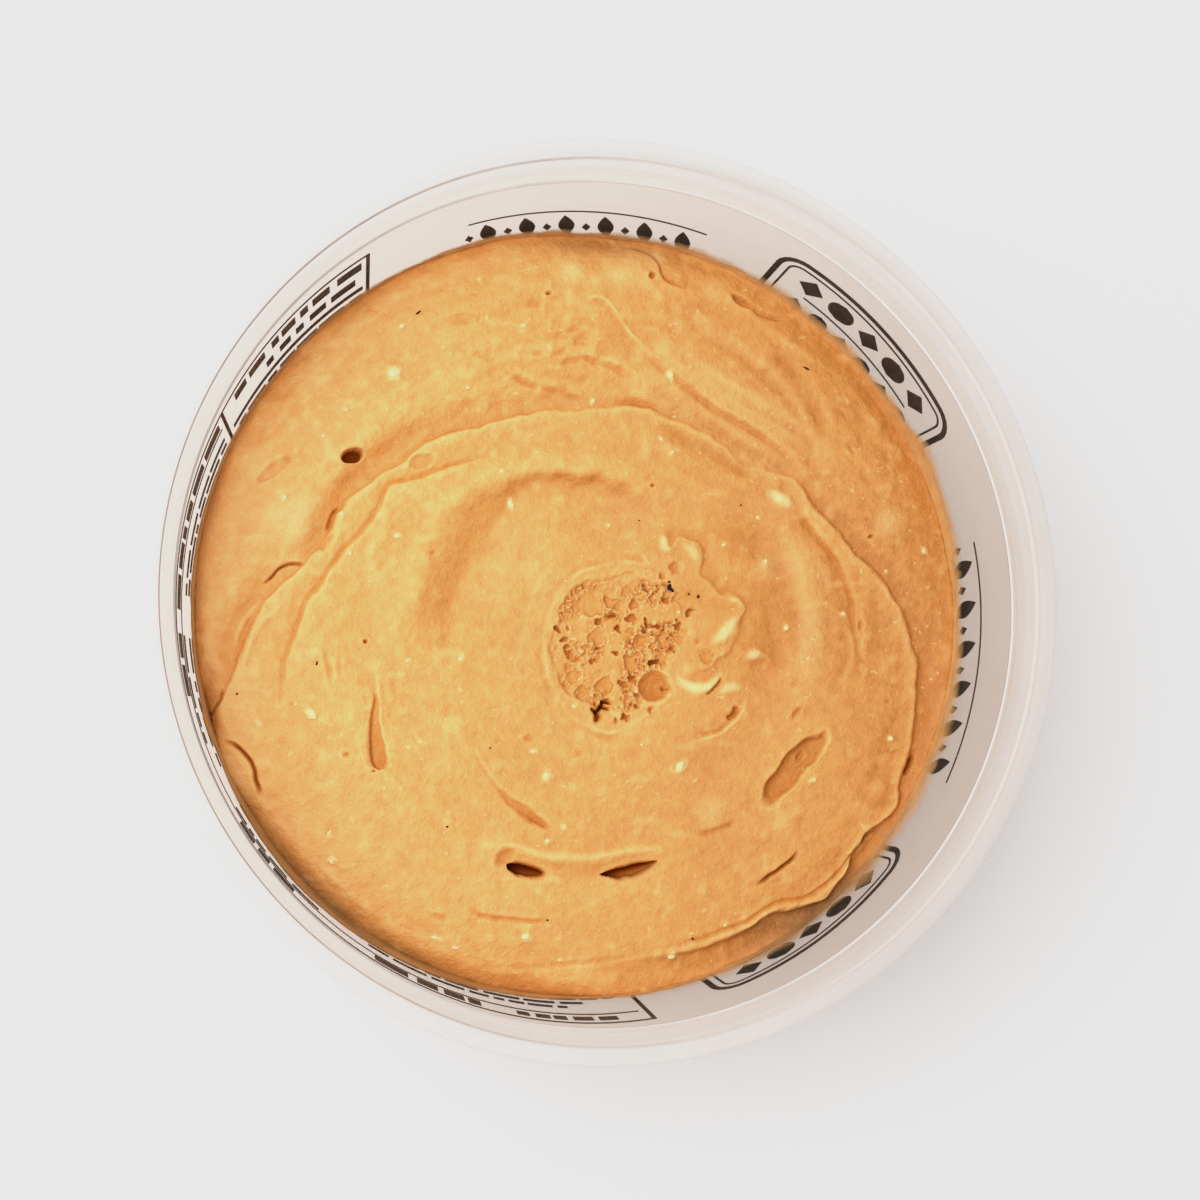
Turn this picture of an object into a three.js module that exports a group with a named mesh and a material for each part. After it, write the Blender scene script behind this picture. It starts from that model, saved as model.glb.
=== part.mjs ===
// A round thin-walled deli tub, lid off, filled to about 22 mm below its rim
// with a swirled cheese spread. Millimetres, +Z up, origin on the axis at the
// level of the foot ring, so the tub stands on z = 0.

import * as THREE from 'three';
import { mergeVertices } from 'three/addons/utils/BufferGeometryUtils.js';

// ---------------------------------------------------------------- sizes

// tub
const SIDES = 72;                 // facets round the axis
const HEIGHT = 61.0;              // foot ring to rim top
const RIM_OUT = 58.5;             // outer radius of the rim's skirt (117 mm across)
const SKIRT_LOW = 56.2;           // lower edge of the skirt
const SKIRT_IN = 57.6;            // inner radius of the skirt
const RIM_IN = 56.35;             // inner edge of the rim's top
const LEDGE_Z = 55.8;             // stacking ledge, upper face
const LEDGE_OUT = 55.1;           // foot of the steep lip above the ledge
const LEDGE_IN = 54.13;           // top of the main wall, inside
const DRAFT = 0.128;              // how much the wall's radius grows per mm of height
const WALL = 0.8;                 // wall thickness
const FOOT_IN = 42.8;             // foot ring, flat from here ...
const FOOT_OUT = 44.9;            // ... to here
const FLOOR_UP = 1.2;             // underside of the raised floor
const FLOOR_IN = 42.0;            // radius of the raised floor

// spread
const LEVEL = 39.0;               // mean level of the spread at the wall
const GAP = 0.3;                  // clearance between the spread and the tub
const RINGS = 28;                 // rings of facets across its top

const innerRadius = (z) => LEDGE_IN - DRAFT * (LEDGE_Z - z);

// ---------------------------------------------------------------- helpers

// One closed body: shared vertices merged, the slivers on the axis dropped.
function closedBody(geometry) {
  geometry.deleteAttribute('normal');
  geometry.deleteAttribute('uv');
  const merged = mergeVertices(geometry, 1e-3);
  const index = merged.getIndex().array;
  const kept = [];
  for (let i = 0; i < index.length; i += 3) {
    const [a, b, c] = [index[i], index[i + 1], index[i + 2]];
    if (a !== b && b !== c && c !== a) kept.push(a, b, c);
  }
  merged.setIndex(kept);
  merged.computeVertexNormals();
  return merged;
}

// Turns a profile of [radius, height] pairs about the Z axis.
function turned(profile, sides) {
  const points = profile.map(([r, z]) => new THREE.Vector2(r, z));
  const lathe = new THREE.LatheGeometry(points, sides);
  lathe.rotateX(Math.PI / 2);
  return lathe;
}

const gauss = (d, w) => Math.exp(-(d * d) / (w * w));
const smooth = (a, b, x) => {
  const t = Math.min(Math.max((x - a) / (b - a), 0), 1);
  return t * t * (3 - 2 * t);
};

// ---------------------------------------------------------------- tub

const tubProfile = [
  [0, FLOOR_UP],
  [FLOOR_IN - 0.4, FLOOR_UP],
  [FOOT_IN, 0],
  [FOOT_OUT, 0],
  [46.6, 0.55],
  [47.75, 1.75],
  [innerRadius(3.6) + WALL, 3.6],
  [innerRadius(30) + WALL, 30],
  [innerRadius(LEDGE_Z - WALL) + WALL, LEDGE_Z - WALL],
  [LEDGE_OUT + 0.85, LEDGE_Z - WALL],
  [57.0, 59.7],
  [57.1, 60.05],
  [SKIRT_IN - 0.05, 60.05],
  [SKIRT_IN, 59.6],
  [SKIRT_IN, SKIRT_LOW],
  [RIM_OUT, SKIRT_LOW],
  [RIM_OUT, 60.2],
  [58.25, 60.8],
  [57.8, HEIGHT],
  [56.7, HEIGHT],
  [RIM_IN, 60.72],
  [LEDGE_OUT, LEDGE_Z],
  [LEDGE_IN, LEDGE_Z],
  [innerRadius(30), 30],
  [innerRadius(4.2), 4.2],
  [46.9, 2.3],
  [45.9, 1.2],
  [44.6, 0.85],
  [43.1, 0.85],
  [FLOOR_IN + 0.3, FLOOR_UP + WALL],
  [0, FLOOR_UP + WALL],
];

// ---------------------------------------------------------------- spread

// The long lip of the swirl, where one turn of the spread laps over the next.
// Its course from the left edge over the top and down the right edge.
const lip = new THREE.CatmullRomCurve3(
  [
    [-49, -13], [-42.8, 0.5], [-33, 14], [-20, 23.2], [-3.5, 27.1],
    [6.7, 27.6], [18, 23.5], [29.9, 19], [35.4, 10.6], [41.3, 4.9],
    [46, -5.8], [45.5, -14.6], [43.2, -27.4], [33.7, -38.2], [21.9, -40.7],
  ].map(([x, y]) => new THREE.Vector3(x, y, 0)),
);
const lipPoints = lip.getPoints(160);

// Signed distance to the lip, positive on the outer side.
function fromLip(x, y) {
  let best = Infinity;
  let side = 1;
  for (let i = 0; i + 1 < lipPoints.length; i++) {
    const a = lipPoints[i];
    const b = lipPoints[i + 1];
    const ex = b.x - a.x;
    const ey = b.y - a.y;
    const t = Math.min(Math.max(((x - a.x) * ex + (y - a.y) * ey) / (ex * ex + ey * ey), 0), 1);
    const dx = x - a.x - t * ex;
    const dy = y - a.y - t * ey;
    const d = Math.hypot(dx, dy);
    if (d < best) {
      best = d;
      side = ex * dy - ey * dx > 0 ? 1 : -1;
    }
  }
  return best * side;
}

// An oval dent, its long axis turned by a number of degrees.
const dent = (x, y, cx, cy, long, wide, turn, deep) => {
  const c = Math.cos((turn * Math.PI) / 180);
  const s = Math.sin((turn * Math.PI) / 180);
  const u = ((x - cx) * c + (y - cy) * s) / long;
  const v = (-(x - cx) * s + (y - cy) * c) / wide;
  return -deep * Math.exp(-((u * u + v * v) ** 1.5));
};

// Height of the spread's top above its level.
function relief(x, y) {
  const r = Math.hypot(x, y);
  const angle = Math.atan2(y, x);
  let h = 0.25 * smooth(40, 51, r);                              // clings to the wall
  h -= 1.1 * (1 - smooth(12, 27, Math.hypot(x + 3, y + 2)));     // broad hollow in the middle
  h += 0.35 * Math.sin(2 * angle + 0.6) * smooth(25, 48, r);     // uneven shoulder

  // swirl: a lip with a valley outside it
  const d = fromLip(x, y);
  h += d < 0 ? 0.9 * gauss(d, 4.2) : 0.9 * gauss(d, 1.2);
  h -= 1.0 * gauss(d - 4.2, 3.0) * smooth(-52, -40, x - r);

  // inner turn of the swirl round the hollow
  const ring = Math.hypot(x + 1.5, y + 3.5) - 21;
  const upper = smooth(-0.9, 0.2, Math.sin(angle - 0.6));
  h += 0.6 * gauss(ring - 1.8, 1.8) * upper - 0.5 * gauss(ring + 1.6, 2.0) * upper;

  // foamy patch beside the middle, in a shallow dish with a raised edge
  const patch = Math.hypot(x - 6.8, y + 4.1);
  h += 0.5 * gauss(patch - 11.2, 1.4) - 0.5 * (1 - smooth(8, 10.8, patch));

  // lobes and lumps at the edge
  h += 0.9 * gauss(Math.hypot(x + 45.5, y + 20.5), 3.6);
  h += 0.7 * gauss(Math.hypot(x - 6, y - 46), 4.5);
  h += 0.6 * gauss(Math.hypot(x + 2, y - 45), 3.0);

  // tears and holes
  h += dent(x, y, -31.6, 20.0, 1.6, 1.4, 20, 2.0);
  h += dent(x, y, -27.5, -16.2, 5.2, 1.8, 92, 1.1);
  h += dent(x, y, 28.6, -21.0, 5.6, 2.2, 50, 1.3);
  h += dent(x, y, -8.1, -34.9, 2.8, 1.6, -4, 2.2);
  h += dent(x, y, 5.8, -35.1, 4.2, 1.6, 12, 2.2);
  return h;
}

const wallRadius = (z) => innerRadius(z) - GAP;
const topEdge = wallRadius(LEVEL);
const spreadProfile = [
  [0, FLOOR_UP + WALL + GAP],
  [FLOOR_IN, FLOOR_UP + WALL + GAP],
  [43.2, 0.85 + GAP],
  [44.5, 0.85 + GAP],
  [45.7, 1.55],
  [46.55, 2.55],
  [wallRadius(4.4), 4.4],
  [wallRadius(22), 22],
];
for (let i = 0; i <= RINGS; i++) {
  spreadProfile.push([topEdge * (1 - i / RINGS), LEVEL]);
}

// The top vertices are those at the level; each is raised or lowered to the
// relief, and the outermost stay the same gap away from the sloping wall.
function swirled(geometry) {
  const position = geometry.getAttribute('position');
  for (let i = 0; i < position.count; i++) {
    if (Math.abs(position.getZ(i) - LEVEL) > 1e-6) continue;
    const x = position.getX(i);
    const y = position.getY(i);
    const z = LEVEL + relief(x, y);
    const r = Math.hypot(x, y);
    const k = r > 1 ? Math.min(1, wallRadius(z) / r) : 1;
    position.setXYZ(i, x * k, y * k, z);
  }
  return geometry;
}

// ---------------------------------------------------------------- object

const group = new THREE.Group();

const tub = new THREE.Mesh(
  closedBody(turned(tubProfile, SIDES)),
  new THREE.MeshStandardMaterial({ color: 0xdccfc4, roughness: 0.35, metalness: 0 }),
);
tub.name = 'tub';
group.add(tub);

const spread = new THREE.Mesh(
  closedBody(swirled(turned(spreadProfile, SIDES))),
  new THREE.MeshStandardMaterial({ color: 0xe3a95c, roughness: 0.45, metalness: 0 }),
);
spread.name = 'spread';
group.add(spread);

export default group;
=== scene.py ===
import math

import bmesh
import bpy
import numpy as np
from mathutils import Matrix, Vector


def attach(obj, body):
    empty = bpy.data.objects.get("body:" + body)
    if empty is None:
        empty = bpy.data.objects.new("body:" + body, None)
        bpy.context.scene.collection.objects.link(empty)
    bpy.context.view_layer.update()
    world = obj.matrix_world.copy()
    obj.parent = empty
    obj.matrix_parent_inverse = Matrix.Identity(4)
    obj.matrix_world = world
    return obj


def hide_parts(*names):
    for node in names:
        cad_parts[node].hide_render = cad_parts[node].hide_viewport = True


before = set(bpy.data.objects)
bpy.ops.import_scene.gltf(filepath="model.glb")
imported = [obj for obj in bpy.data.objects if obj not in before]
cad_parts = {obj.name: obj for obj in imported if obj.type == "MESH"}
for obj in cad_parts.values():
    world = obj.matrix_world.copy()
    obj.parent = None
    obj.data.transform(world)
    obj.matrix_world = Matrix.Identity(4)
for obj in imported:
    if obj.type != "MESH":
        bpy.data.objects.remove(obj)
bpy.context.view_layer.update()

# Everything is worked out in millimetres in the part's frame and put into
# Blender in metres.
MM = 0.001
rng = np.random.default_rng(11)

# ------------------------------------------------------------------ sizes

HEIGHT = 61.0
RIM_OUT = 58.5
LEDGE_Z = 55.8
LEDGE_OUT = 55.1
LEDGE_IN = 54.13
DRAFT = 0.128
WALL = 0.8
LEVEL = 39.0


def inner_radius(z):
    return LEDGE_IN - DRAFT * (LEDGE_Z - z)


# ------------------------------------------------------------------ camera
# The eye stands 265 mm above the rim, to the left of the axis and a little
# below it in the picture, and looks at the middle of the rim.

EYE = np.array([-50.9, -27.15, 326.0])
AIM = np.array([-2.04, -0.91, 61.0])
FOCAL = 2169.4            # focal length in pixels of the 1200 pixel picture


def camera_axes():
    look = AIM - EYE
    look = look / np.linalg.norm(look)
    right = np.cross(look, [0.0, 1.0, 0.0])
    right = right / np.linalg.norm(right)
    return right, np.cross(right, look), look


def at(px, py, z=LEVEL):
    """Where a pixel of the 1200 by 1200 picture meets the height z, in mm."""
    right, up, look = camera_axes()
    px, py = np.asarray(px, float), np.asarray(py, float)
    ray = (
        look
        + ((px - 600) / FOCAL)[..., None] * right
        - ((py - 600) / FOCAL)[..., None] * up
    )
    t = (z - EYE[2]) / ray[..., 2]
    p = EYE + t[..., None] * ray
    return p[..., 0], p[..., 1]


def make_camera():
    data = bpy.data.cameras.new("camera")
    data.sensor_width = 36.0
    data.lens = 36.0 * FOCAL / 1200.0
    data.clip_start, data.clip_end = 0.01, 10.0
    cam = bpy.data.objects.new("camera", data)
    bpy.context.collection.objects.link(cam)
    right, up, look = camera_axes()
    cam.matrix_world = Matrix(
        [
            [right[i], up[i], -look[i], EYE[i] * MM]
            for i in range(3)
        ]
        + [[0, 0, 0, 1]]
    )
    bpy.context.scene.camera = cam


make_camera()

# ------------------------------------------------------------------ noise

_table = rng.random((256, 256)) * 2.0 - 1.0


def noise(x, y, size, seed=0):
    """Smooth noise from -1 to 1 with features of about this size in mm."""
    x = np.asarray(x) / size + seed * 17.31
    y = np.asarray(y) / size + seed * 9.77
    xi, yi = np.floor(x).astype(int), np.floor(y).astype(int)
    fx, fy = x - xi, y - yi
    fx = fx * fx * fx * (fx * (fx * 6 - 15) + 10)
    fy = fy * fy * fy * (fy * (fy * 6 - 15) + 10)
    a = _table[xi & 255, yi & 255]
    b = _table[(xi + 1) & 255, yi & 255]
    c = _table[xi & 255, (yi + 1) & 255]
    d = _table[(xi + 1) & 255, (yi + 1) & 255]
    return (a * (1 - fx) + b * fx) * (1 - fy) + (c * (1 - fx) + d * fx) * fy


def fbm(x, y, size, octaves=4, seed=0, fall=0.5):
    total, amp, norm = 0.0, 1.0, 0.0
    for k in range(octaves):
        total = total + amp * noise(x, y, size / 2**k, seed + k * 3)
        norm += amp
        amp *= fall
    return total / norm


def smooth(a, b, x):
    t = np.clip((np.asarray(x) - a) / (b - a), 0.0, 1.0)
    return t * t * (3 - 2 * t)


def gauss(d, w):
    return np.exp(-((d / w) ** 2))


# ------------------------------------------------------------------ relief

PX = 7.25                 # picture pixels in a mm at the spread's level


class Path:
    """A smooth path through a few picture points."""

    def __init__(self, points):
        p = np.array(points, float)
        x, y = at(p[:, 0], p[:, 1])
        q = np.stack([x, y], -1)
        q = np.vstack([2 * q[0] - q[1], q, 2 * q[-1] - q[-2]])
        out = []
        for i in range(1, len(q) - 2):
            n = max(2, int(np.linalg.norm(q[i + 1] - q[i]) / 0.5))
            for k in range(n):
                t = k / n
                out.append(
                    0.5
                    * (
                        2 * q[i]
                        + (q[i + 1] - q[i - 1]) * t
                        + (2 * q[i - 1] - 5 * q[i] + 4 * q[i + 1] - q[i + 2]) * t * t
                        + (3 * q[i] - q[i - 1] - 3 * q[i + 1] + q[i + 2]) * t**3
                    )
                )
        out.append(q[-2])
        self.p = np.array(out)
        step = np.linalg.norm(np.diff(self.p, axis=0), axis=1)
        self.s = np.concatenate([[0], np.cumsum(step)])

    def near(self, x, y, reach):
        """Indices of the points within reach, their signed distance (positive to the left of the path's direction) and their place along it from 0 to 1."""
        lo, hi = self.p.min(0) - reach, self.p.max(0) + reach
        idx = np.nonzero((x > lo[0]) & (x < hi[0]) & (y > lo[1]) & (y < hi[1]))[0]
        px, py = x[idx], y[idx]
        best = np.full(len(idx), 1e9)
        sign = np.ones(len(idx))
        along = np.zeros(len(idx))
        for i in range(len(self.p) - 1):
            a, e = self.p[i], self.p[i + 1] - self.p[i]
            l2 = e @ e
            if l2 < 1e-12:
                continue
            dx, dy = px - a[0], py - a[1]
            t = np.clip((dx * e[0] + dy * e[1]) / l2, 0, 1)
            rx, ry = dx - t * e[0], dy - t * e[1]
            d = rx * rx + ry * ry
            better = d < best
            best = np.where(better, d, best)
            sign = np.where(better, np.sign(e[0] * dy - e[1] * dx + 1e-12), sign)
            along = np.where(
                better, (self.s[i] + t * (self.s[i + 1] - self.s[i])) / self.s[-1], along
            )
        best = np.sqrt(best)
        keep = best < reach
        return idx[keep], (best * sign)[keep], along[keep]


def ends(t, a=0.15, b=0.15):
    return smooth(0, a, t) * smooth(0, b, 1 - t)


# the long lip of the swirl, from the left edge over the top to the right and
# round to the bottom
LIP = Path([
    (214, 722), (220, 704), (229, 684), (240, 652), (268, 600), (296, 570),
    (322, 544), (336, 516), (352, 496), (374, 480), (402, 461), (430, 441),
    (458, 430), (486, 423), (512, 417), (560, 411), (606, 409), (634, 404),
    (657, 412), (682, 421), (703, 432), (720, 445), (744, 463), (772, 472),
    (797, 482), (812, 508), (836, 532), (848, 551), (868, 568), (889, 594),
    (903, 620), (912, 650), (915, 684), (913, 714), (911, 740), (903, 766),
    (897, 794), (893, 812), (868, 828), (854, 850), (845, 871), (830, 893),
    (806, 906), (780, 914), (758, 922), (724, 941), (690, 952), (650, 958),
    (606, 962), (560, 963),
])
# the crease inside it on the left
CREASE_LEFT = Path([
    (497, 451), (466, 458), (437, 467), (410, 477), (389, 484), (380, 503),
    (364, 525), (343, 549), (325, 572), (307, 600), (291, 638), (281, 674),
    (278, 704), (284, 735),
])
# and on the right
CREASE_RIGHT = Path([
    (796, 504), (804, 520), (816, 539), (829, 556), (840, 574), (847, 592),
    (852, 619), (856, 650), (853, 684),
])
# a second edge just inside the lip at the lower right
LIP_TWIN = Path([
    (878, 822), (864, 837), (849, 858), (833, 879), (806, 895), (778, 904),
    (746, 920), (714, 936), (682, 945), (650, 950),
])
# upper edge of the inner hollow, where the surface steps down
HOLLOW = Path([
    (424, 676), (427, 640), (435, 600), (446, 566), (462, 532), (482, 508),
    (504, 490), (530, 480), (560, 477), (590, 479), (618, 487), (646, 499),
    (668, 513),
])
# the valley outside the lip at the upper left
GULLY = Path([
    (306, 572), (316, 548), (325, 525), (335, 503), (352, 480), (374, 458),
    (398, 440), (424, 426), (452, 418),
])
VALLEY = Path([
    (700, 512), (728, 524), (752, 542), (768, 566), (775, 596), (774, 628),
    (766, 660), (754, 690), (738, 712),
])
SUNNY = Path([
    (778, 524), (794, 546), (804, 572), (810, 604), (810, 640), (804, 672), (792, 704),
])
CAVE_RIDGE = Path([
    (484, 849), (504, 846), (524, 849), (545, 855), (580, 860), (606, 857),
    (628, 852), (656, 850), (676, 846),
])
FOLD = Path([(262, 584), (270, 577), (281, 565), (293, 562), (308, 564)])
LEFT_CREVICE = Path([(219, 738), (230, 740), (241, 747), (249, 759), (254, 772), (256, 786), (261, 802)])
LEFT_NOTCH = Path([(226, 686), (221, 698), (214, 712), (208, 722)])
NICK_1 = Path([(340, 508), (332, 513), (327, 522), (325, 532)])
NICK_2 = Path([(335, 533), (326, 541), (320, 552)])
DIAG = Path([(467, 748), (478, 762), (490, 777), (501, 791), (510, 801), (522, 811), (534, 820), (549, 829)])
LOW_GROOVE = Path([(466, 902), (472, 908), (484, 914), (504, 918), (526, 920), (551, 920)])
GROOVE_3 = Path([(694, 833), (710, 830), (724, 826), (737, 821)])
SLIT = Path([(757, 886), (768, 877), (782, 866), (792, 857), (800, 850)])
RIGHT_SLIT = Path([(913, 752), (910, 764), (905, 776)])
TOP_FOLD = Path([(618, 245), (634, 248), (648, 254), (658, 264), (661, 275), (674, 284), (687, 286), (693, 280)])
TOP_GROOVE = Path([(732, 296), (741, 300), (752, 308), (768, 315), (790, 317)])
STREAK = Path([(584, 297), (600, 297), (614, 309), (624, 322), (634, 338), (646, 352)])
RIPPLES = [
    Path([(498, 368), (512, 376), (534, 387), (562, 393), (596, 402)]),
    Path([(520, 350), (544, 354), (566, 350), (592, 330)]),
    Path([(548, 372), (572, 362), (596, 362), (622, 372), (640, 384)]),
    Path([(470, 352), (488, 360), (500, 366)]),
    Path([(552, 338), (566, 332), (590, 318)]),
    Path([(536, 372), (560, 378), (590, 380), (616, 386)]),
]
FALLS = [
    Path([(629, 338), (651, 360), (674, 378), (717, 407), (760, 435), (789, 459), (799, 474)]),
    Path([(655, 330), (703, 369), (750, 402), (784, 421), (812, 446), (826, 480)]),
    Path([(655, 416), (684, 432), (717, 451), (752, 466), (780, 474)]),
    Path([(690, 330), (736, 352), (780, 388), (806, 428), (814, 462)]),
    Path([(640, 372), (676, 398), (716, 422), (752, 448), (780, 462)]),
    Path([(770, 345), (796, 366), (814, 396), (823, 430), (821, 462)]),
    Path([(884, 450), (889, 464), (889, 480), (885, 504)]),
]
LOW_CREASE = Path([(470, 968), (520, 966), (566, 962), (612, 960), (660, 954)])
RIGHT_LEAF = [
    Path([(834, 647), (838, 640), (845, 637), (848, 648), (846, 662), (841, 674), (838, 686)]),
]
STRIPES = [
    Path([(268, 596), (252, 612), (241, 628), (234, 650)]),
    Path([(282, 606), (262, 626), (248, 648), (238, 676)]),
]
CRESCENT = Path([(684, 738), (704, 736), (720, 731), (732, 720), (740, 708), (744, 696)])
BROW = Path([(703, 694), (709, 692), (717, 685), (723, 676)])
# the smooth shelf beside the patch, with a ragged edge that drops outward
SHELF = Path([
    (664, 560), (666, 551), (675, 548), (679, 538), (691, 541), (702, 546), (703, 561), (701, 575),
    (709, 583), (712, 588), (720, 596), (726, 593), (734, 594), (743, 607), (744, 613), (740, 621),
    (739, 632), (733, 642), (729, 654), (720, 659), (710, 668), (700, 669), (690, 675),
])
# soft folds beside the patch, painted paler on top: path, half width px, height mm, paleness (painted highlight)
FOLDS = [
    (Path([(679, 676), (684, 683), (692, 687), (703, 688), (712, 684), (721, 675)]), 5.2, 0.60, 1.0),
    (Path([(713, 643), (721, 637), (728, 630), (735, 621)]), 6.0, 0.42, 0.95),
    (Path([(665, 536), (666, 545), (671, 553)]), 4.6, 0.50, 0.85),
    (Path([(684, 546), (694, 552), (699, 562)]), 5.0, 0.30, 0.45),
    (Path([(748, 660), (756, 655), (765, 657)]), 4.6, 0.50, 0.85),
    (Path([(720, 694), (730, 688), (742, 690)]), 4.6, 0.34, 0.60),
    (Path([(770, 492), (780, 499), (792, 507)]), 6.6, 0.66, 0.95),
    (Path([(725, 600), (735, 602), (739, 609)]), 3.4, 0.26, 0.45),
]
PATCH_EDGE = Path([
    (668, 561), (650, 562), (622, 560), (600, 566), (584, 571), (568, 584), (556, 600),
    (546, 622), (543, 640), (546, 668), (556, 690), (568, 708), (586, 724), (604, 732),
    (622, 731), (640, 722), (654, 709), (668, 700),
])

PATCH = at(634, 642)

# ovals: px, py, half length, half width (px), turn (degrees, + is up to the
# right in the picture), depth mm, sharpness of the edge, tone (painted shade inside)
OVALS = [
    (352.2, 456.0, 10.5, 6.0, 22, 3.0, 10, 0.91),
    (420.6, 460.5, 11.5, 6.0, 22, 0.28, 8, 0.12),
    (274.4, 470.0, 18.0, 5.0, 38, 0.16, 4, 0.12),
    (463.0, 319.5, 14.0, 5.0, 4, 0.12, 3, 0.12),
    (534.6, 305.0, 6.0, 4.0, 0, 0.18, 3, 0.2),
    (467.0, 403.0, 11.0, 5.0, 10, 0.16, 3, 0.15),
    (504.0, 858.0, 10.0, 6.0, 40, 0.6, 3, 0.28),
    (801.5, 757.0, 5.0, 2.4, 60, 0.5, 3, 0.30),
    (821.5, 735.5, 4.6, 2.6, 70, 0.35, 4, 0.25),
    (438.0, 917.0, 7.0, 3.0, -14, 0.25, 3, 0.2),
    (651.0, 275.0, 3.0, 3.0, 0, 0.7, 4, 0.6),
    (549.0, 294.8, 2.2, 1.5, 30, 0.7, 4, 0.7),
    (741.0, 301.0, 9.0, 4.0, -38, 0.8, 4, 0.35),
    (849.5, 451.0, 6.0, 2.0, -60, 0.3, 4, 0.4),
    (366.3, 641.3, 1.8, 1.8, 0, 0.6, 4, 0.8),
    (344.5, 754.3, 2.8, 2.4, 0, 0.4, 4, 0.5),
    (528.0, 739.0, 4.0, 4.0, 0, 0.25, 3, 0.4),
    (373.4, 771.7, 1.5, 1.2, 0, 0.4, 4, 0.7),
    (327.0, 666.0, 2.2, 15.0, 14, 0.3, 3, 0.25),
    (339.5, 666.0, 2.0, 10.0, 0, 0.22, 3, 0.2),
    (797.0, 712.0, 7.0, 2.0, 52, 0.4, 4, 0.4),
    (859.7, 626.0, 1.8, 5.0, -10, 0.35, 4, 0.4),
    (870.0, 536.0, 3.0, 1.4, 20, 0.4, 4, 0.7),
    (866.0, 520.0, 2.0, 1.4, 0, 0.3, 4, 0.4),
    (651.8, 485.3, 1.8, 1.4, 0, 0.4, 4, 0.8),
    (886.5, 702.0, 1.4, 1.4, 0, 0.3, 4, 0.5),
    (432.0, 554.0, 2.5, 1.4, 20, 0.3, 4, 0.5),
    (343.0, 936.0, 3.0, 2.0, 0, 0.4, 4, 0.6),
    (290.0, 703.0, 1.4, 1.4, 0, 0.3, 4, 0.4),
    (498.0, 742.0, 2.5, 1.6, 30, 0.2, 4, 0.3),
    (612.0, 758.0, 1.8, 1.4, 0, 0.25, 4, 0.4),
    (578.0, 754.0, 3.0, 2.4, 0, 0.15, 3, 0.25),
]

# caves: the two tips, how far the upper and lower edges bow out (px), depth
# mm, roundness of the ends
CAVES = [
    ((505.5, 866), (544, 873.5), 4.5, 6.0, 3.0, 0.50),
    ((599, 875), (657, 861), 1.6, 9.0, 2.3, 0.95),
]

# low smooth swellings: px, py, radius px, height mm
SWELLS = [
    (292, 521, 26, 0.30), (254, 470, 14, 0.22), (624, 266, 20, 0.45),
    (573, 270, 12, 0.40), (594, 282, 9, 0.25), (574, 300, 10, 0.25),
    (765, 566, 11, 0.45), (890, 522, 13, 0.28), (877, 428, 9, 0.22),
    (264, 764, 8, 0.25), (713, 809, 14, 0.25), (784, 828, 12, 0.2), (862, 808, 8, 0.2),
    (879, 786, 7, 0.2), (505, 840, 10, 0.25), (488, 846, 7, 0.25),
    (584, 968, 14, 0.25), (640, 352, 9, 0.25), (350, 710, 10, 0.15),
    (658, 256, 9, 0.35), (716, 290, 12, 0.25),
    (420, 740, 18, 0.12), (300, 560, 12, 0.25), (480, 346, 22, 0.12),
    (545, 350, 16, 0.15), (594, 342, 14, 0.18), (866, 360, 22, 0.12),
]

# pale curd bits: px, py, half length, half width (px), turn (degrees)
CURDS = [
    (393.8, 373.5, 7.5, 6.5, 20), (312, 714.5, 7.5, 4.5, -60),
    (546, 776, 4.6, 3.6, 50), (679.6, 767, 7.5, 4.8, 50), (890, 739, 3.8, 3.4, 0),
    (812.5, 780, 3.4, 3.0, 0), (331.8, 861.5, 4.2, 3.4, -30), (525.7, 936.7, 4.6, 3.6, 0),
    (671.7, 955.4, 4.6, 4.2, 0), (407.8, 660.7, 2.6, 2.2, 0), (461, 658.7, 3.2, 2.6, 0),
    (787, 628, 3.2, 3.0, 0), (842.7, 614, 2.8, 2.4, 0), (669.7, 376, 4.2, 4.6, 0),
    (284.6, 498.6, 3.4, 3.6, 0), (342, 514.6, 3.0, 4.2, 0), (397.3, 535.8, 3.4, 2.8, 0),
    (511.6, 503.2, 4.0, 5.4, 30), (401.4, 327, 3.2, 2.6, 0), (322.9, 436.8, 2.2, 2.2, 0),
    (523, 326, 2.6, 2.2, 0), (479.7, 280, 2.2, 2.2, 0), (593, 401, 2.8, 3.2, 0),
    (260, 724.5, 1.8, 2.8, 0), (329, 832.7, 3.6, 1.8, 40), (533.3, 751.8, 2.6, 2.4, 0),
    (564.7, 825.8, 2.0, 2.0, 0), (547.3, 841, 3.0, 2.4, 0), (421, 741.6, 1.8, 1.8, 0),
    (435, 938, 4.4, 2.4, -20), (455.5, 948, 4.6, 1.8, -15), (679.7, 612, 2.2, 2.0, 0),
    (757.7, 517, 2.4, 2.0, 0), (609.7, 524.8, 2.4, 2.2, 0), (923.5, 551.6, 3.0, 2.4, 40),
    (672, 452, 2.8, 2.2, 0), (660.8, 439.4, 2.0, 2.0, 0), (766, 561, 3.2, 2.4, 20),
    (574, 706, 2.0, 1.8, 0), (691.4, 933, 1.8, 1.6, 0), (724.5, 925, 2.4, 1.8, 0),
    (886, 571, 1.6, 1.6, 0), (350, 554, 2.0, 2.6, 0), (346, 410, 2.8, 1.8, 20),
    (501.4, 471.3, 2.4, 2.0, 0), (642, 745, 1.8, 1.6, 0), (560, 960, 2.0, 1.6, 0),
    (724, 545, 2.4, 2.0, 0), (468, 388, 2.4, 1.8, 0),
]

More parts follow.
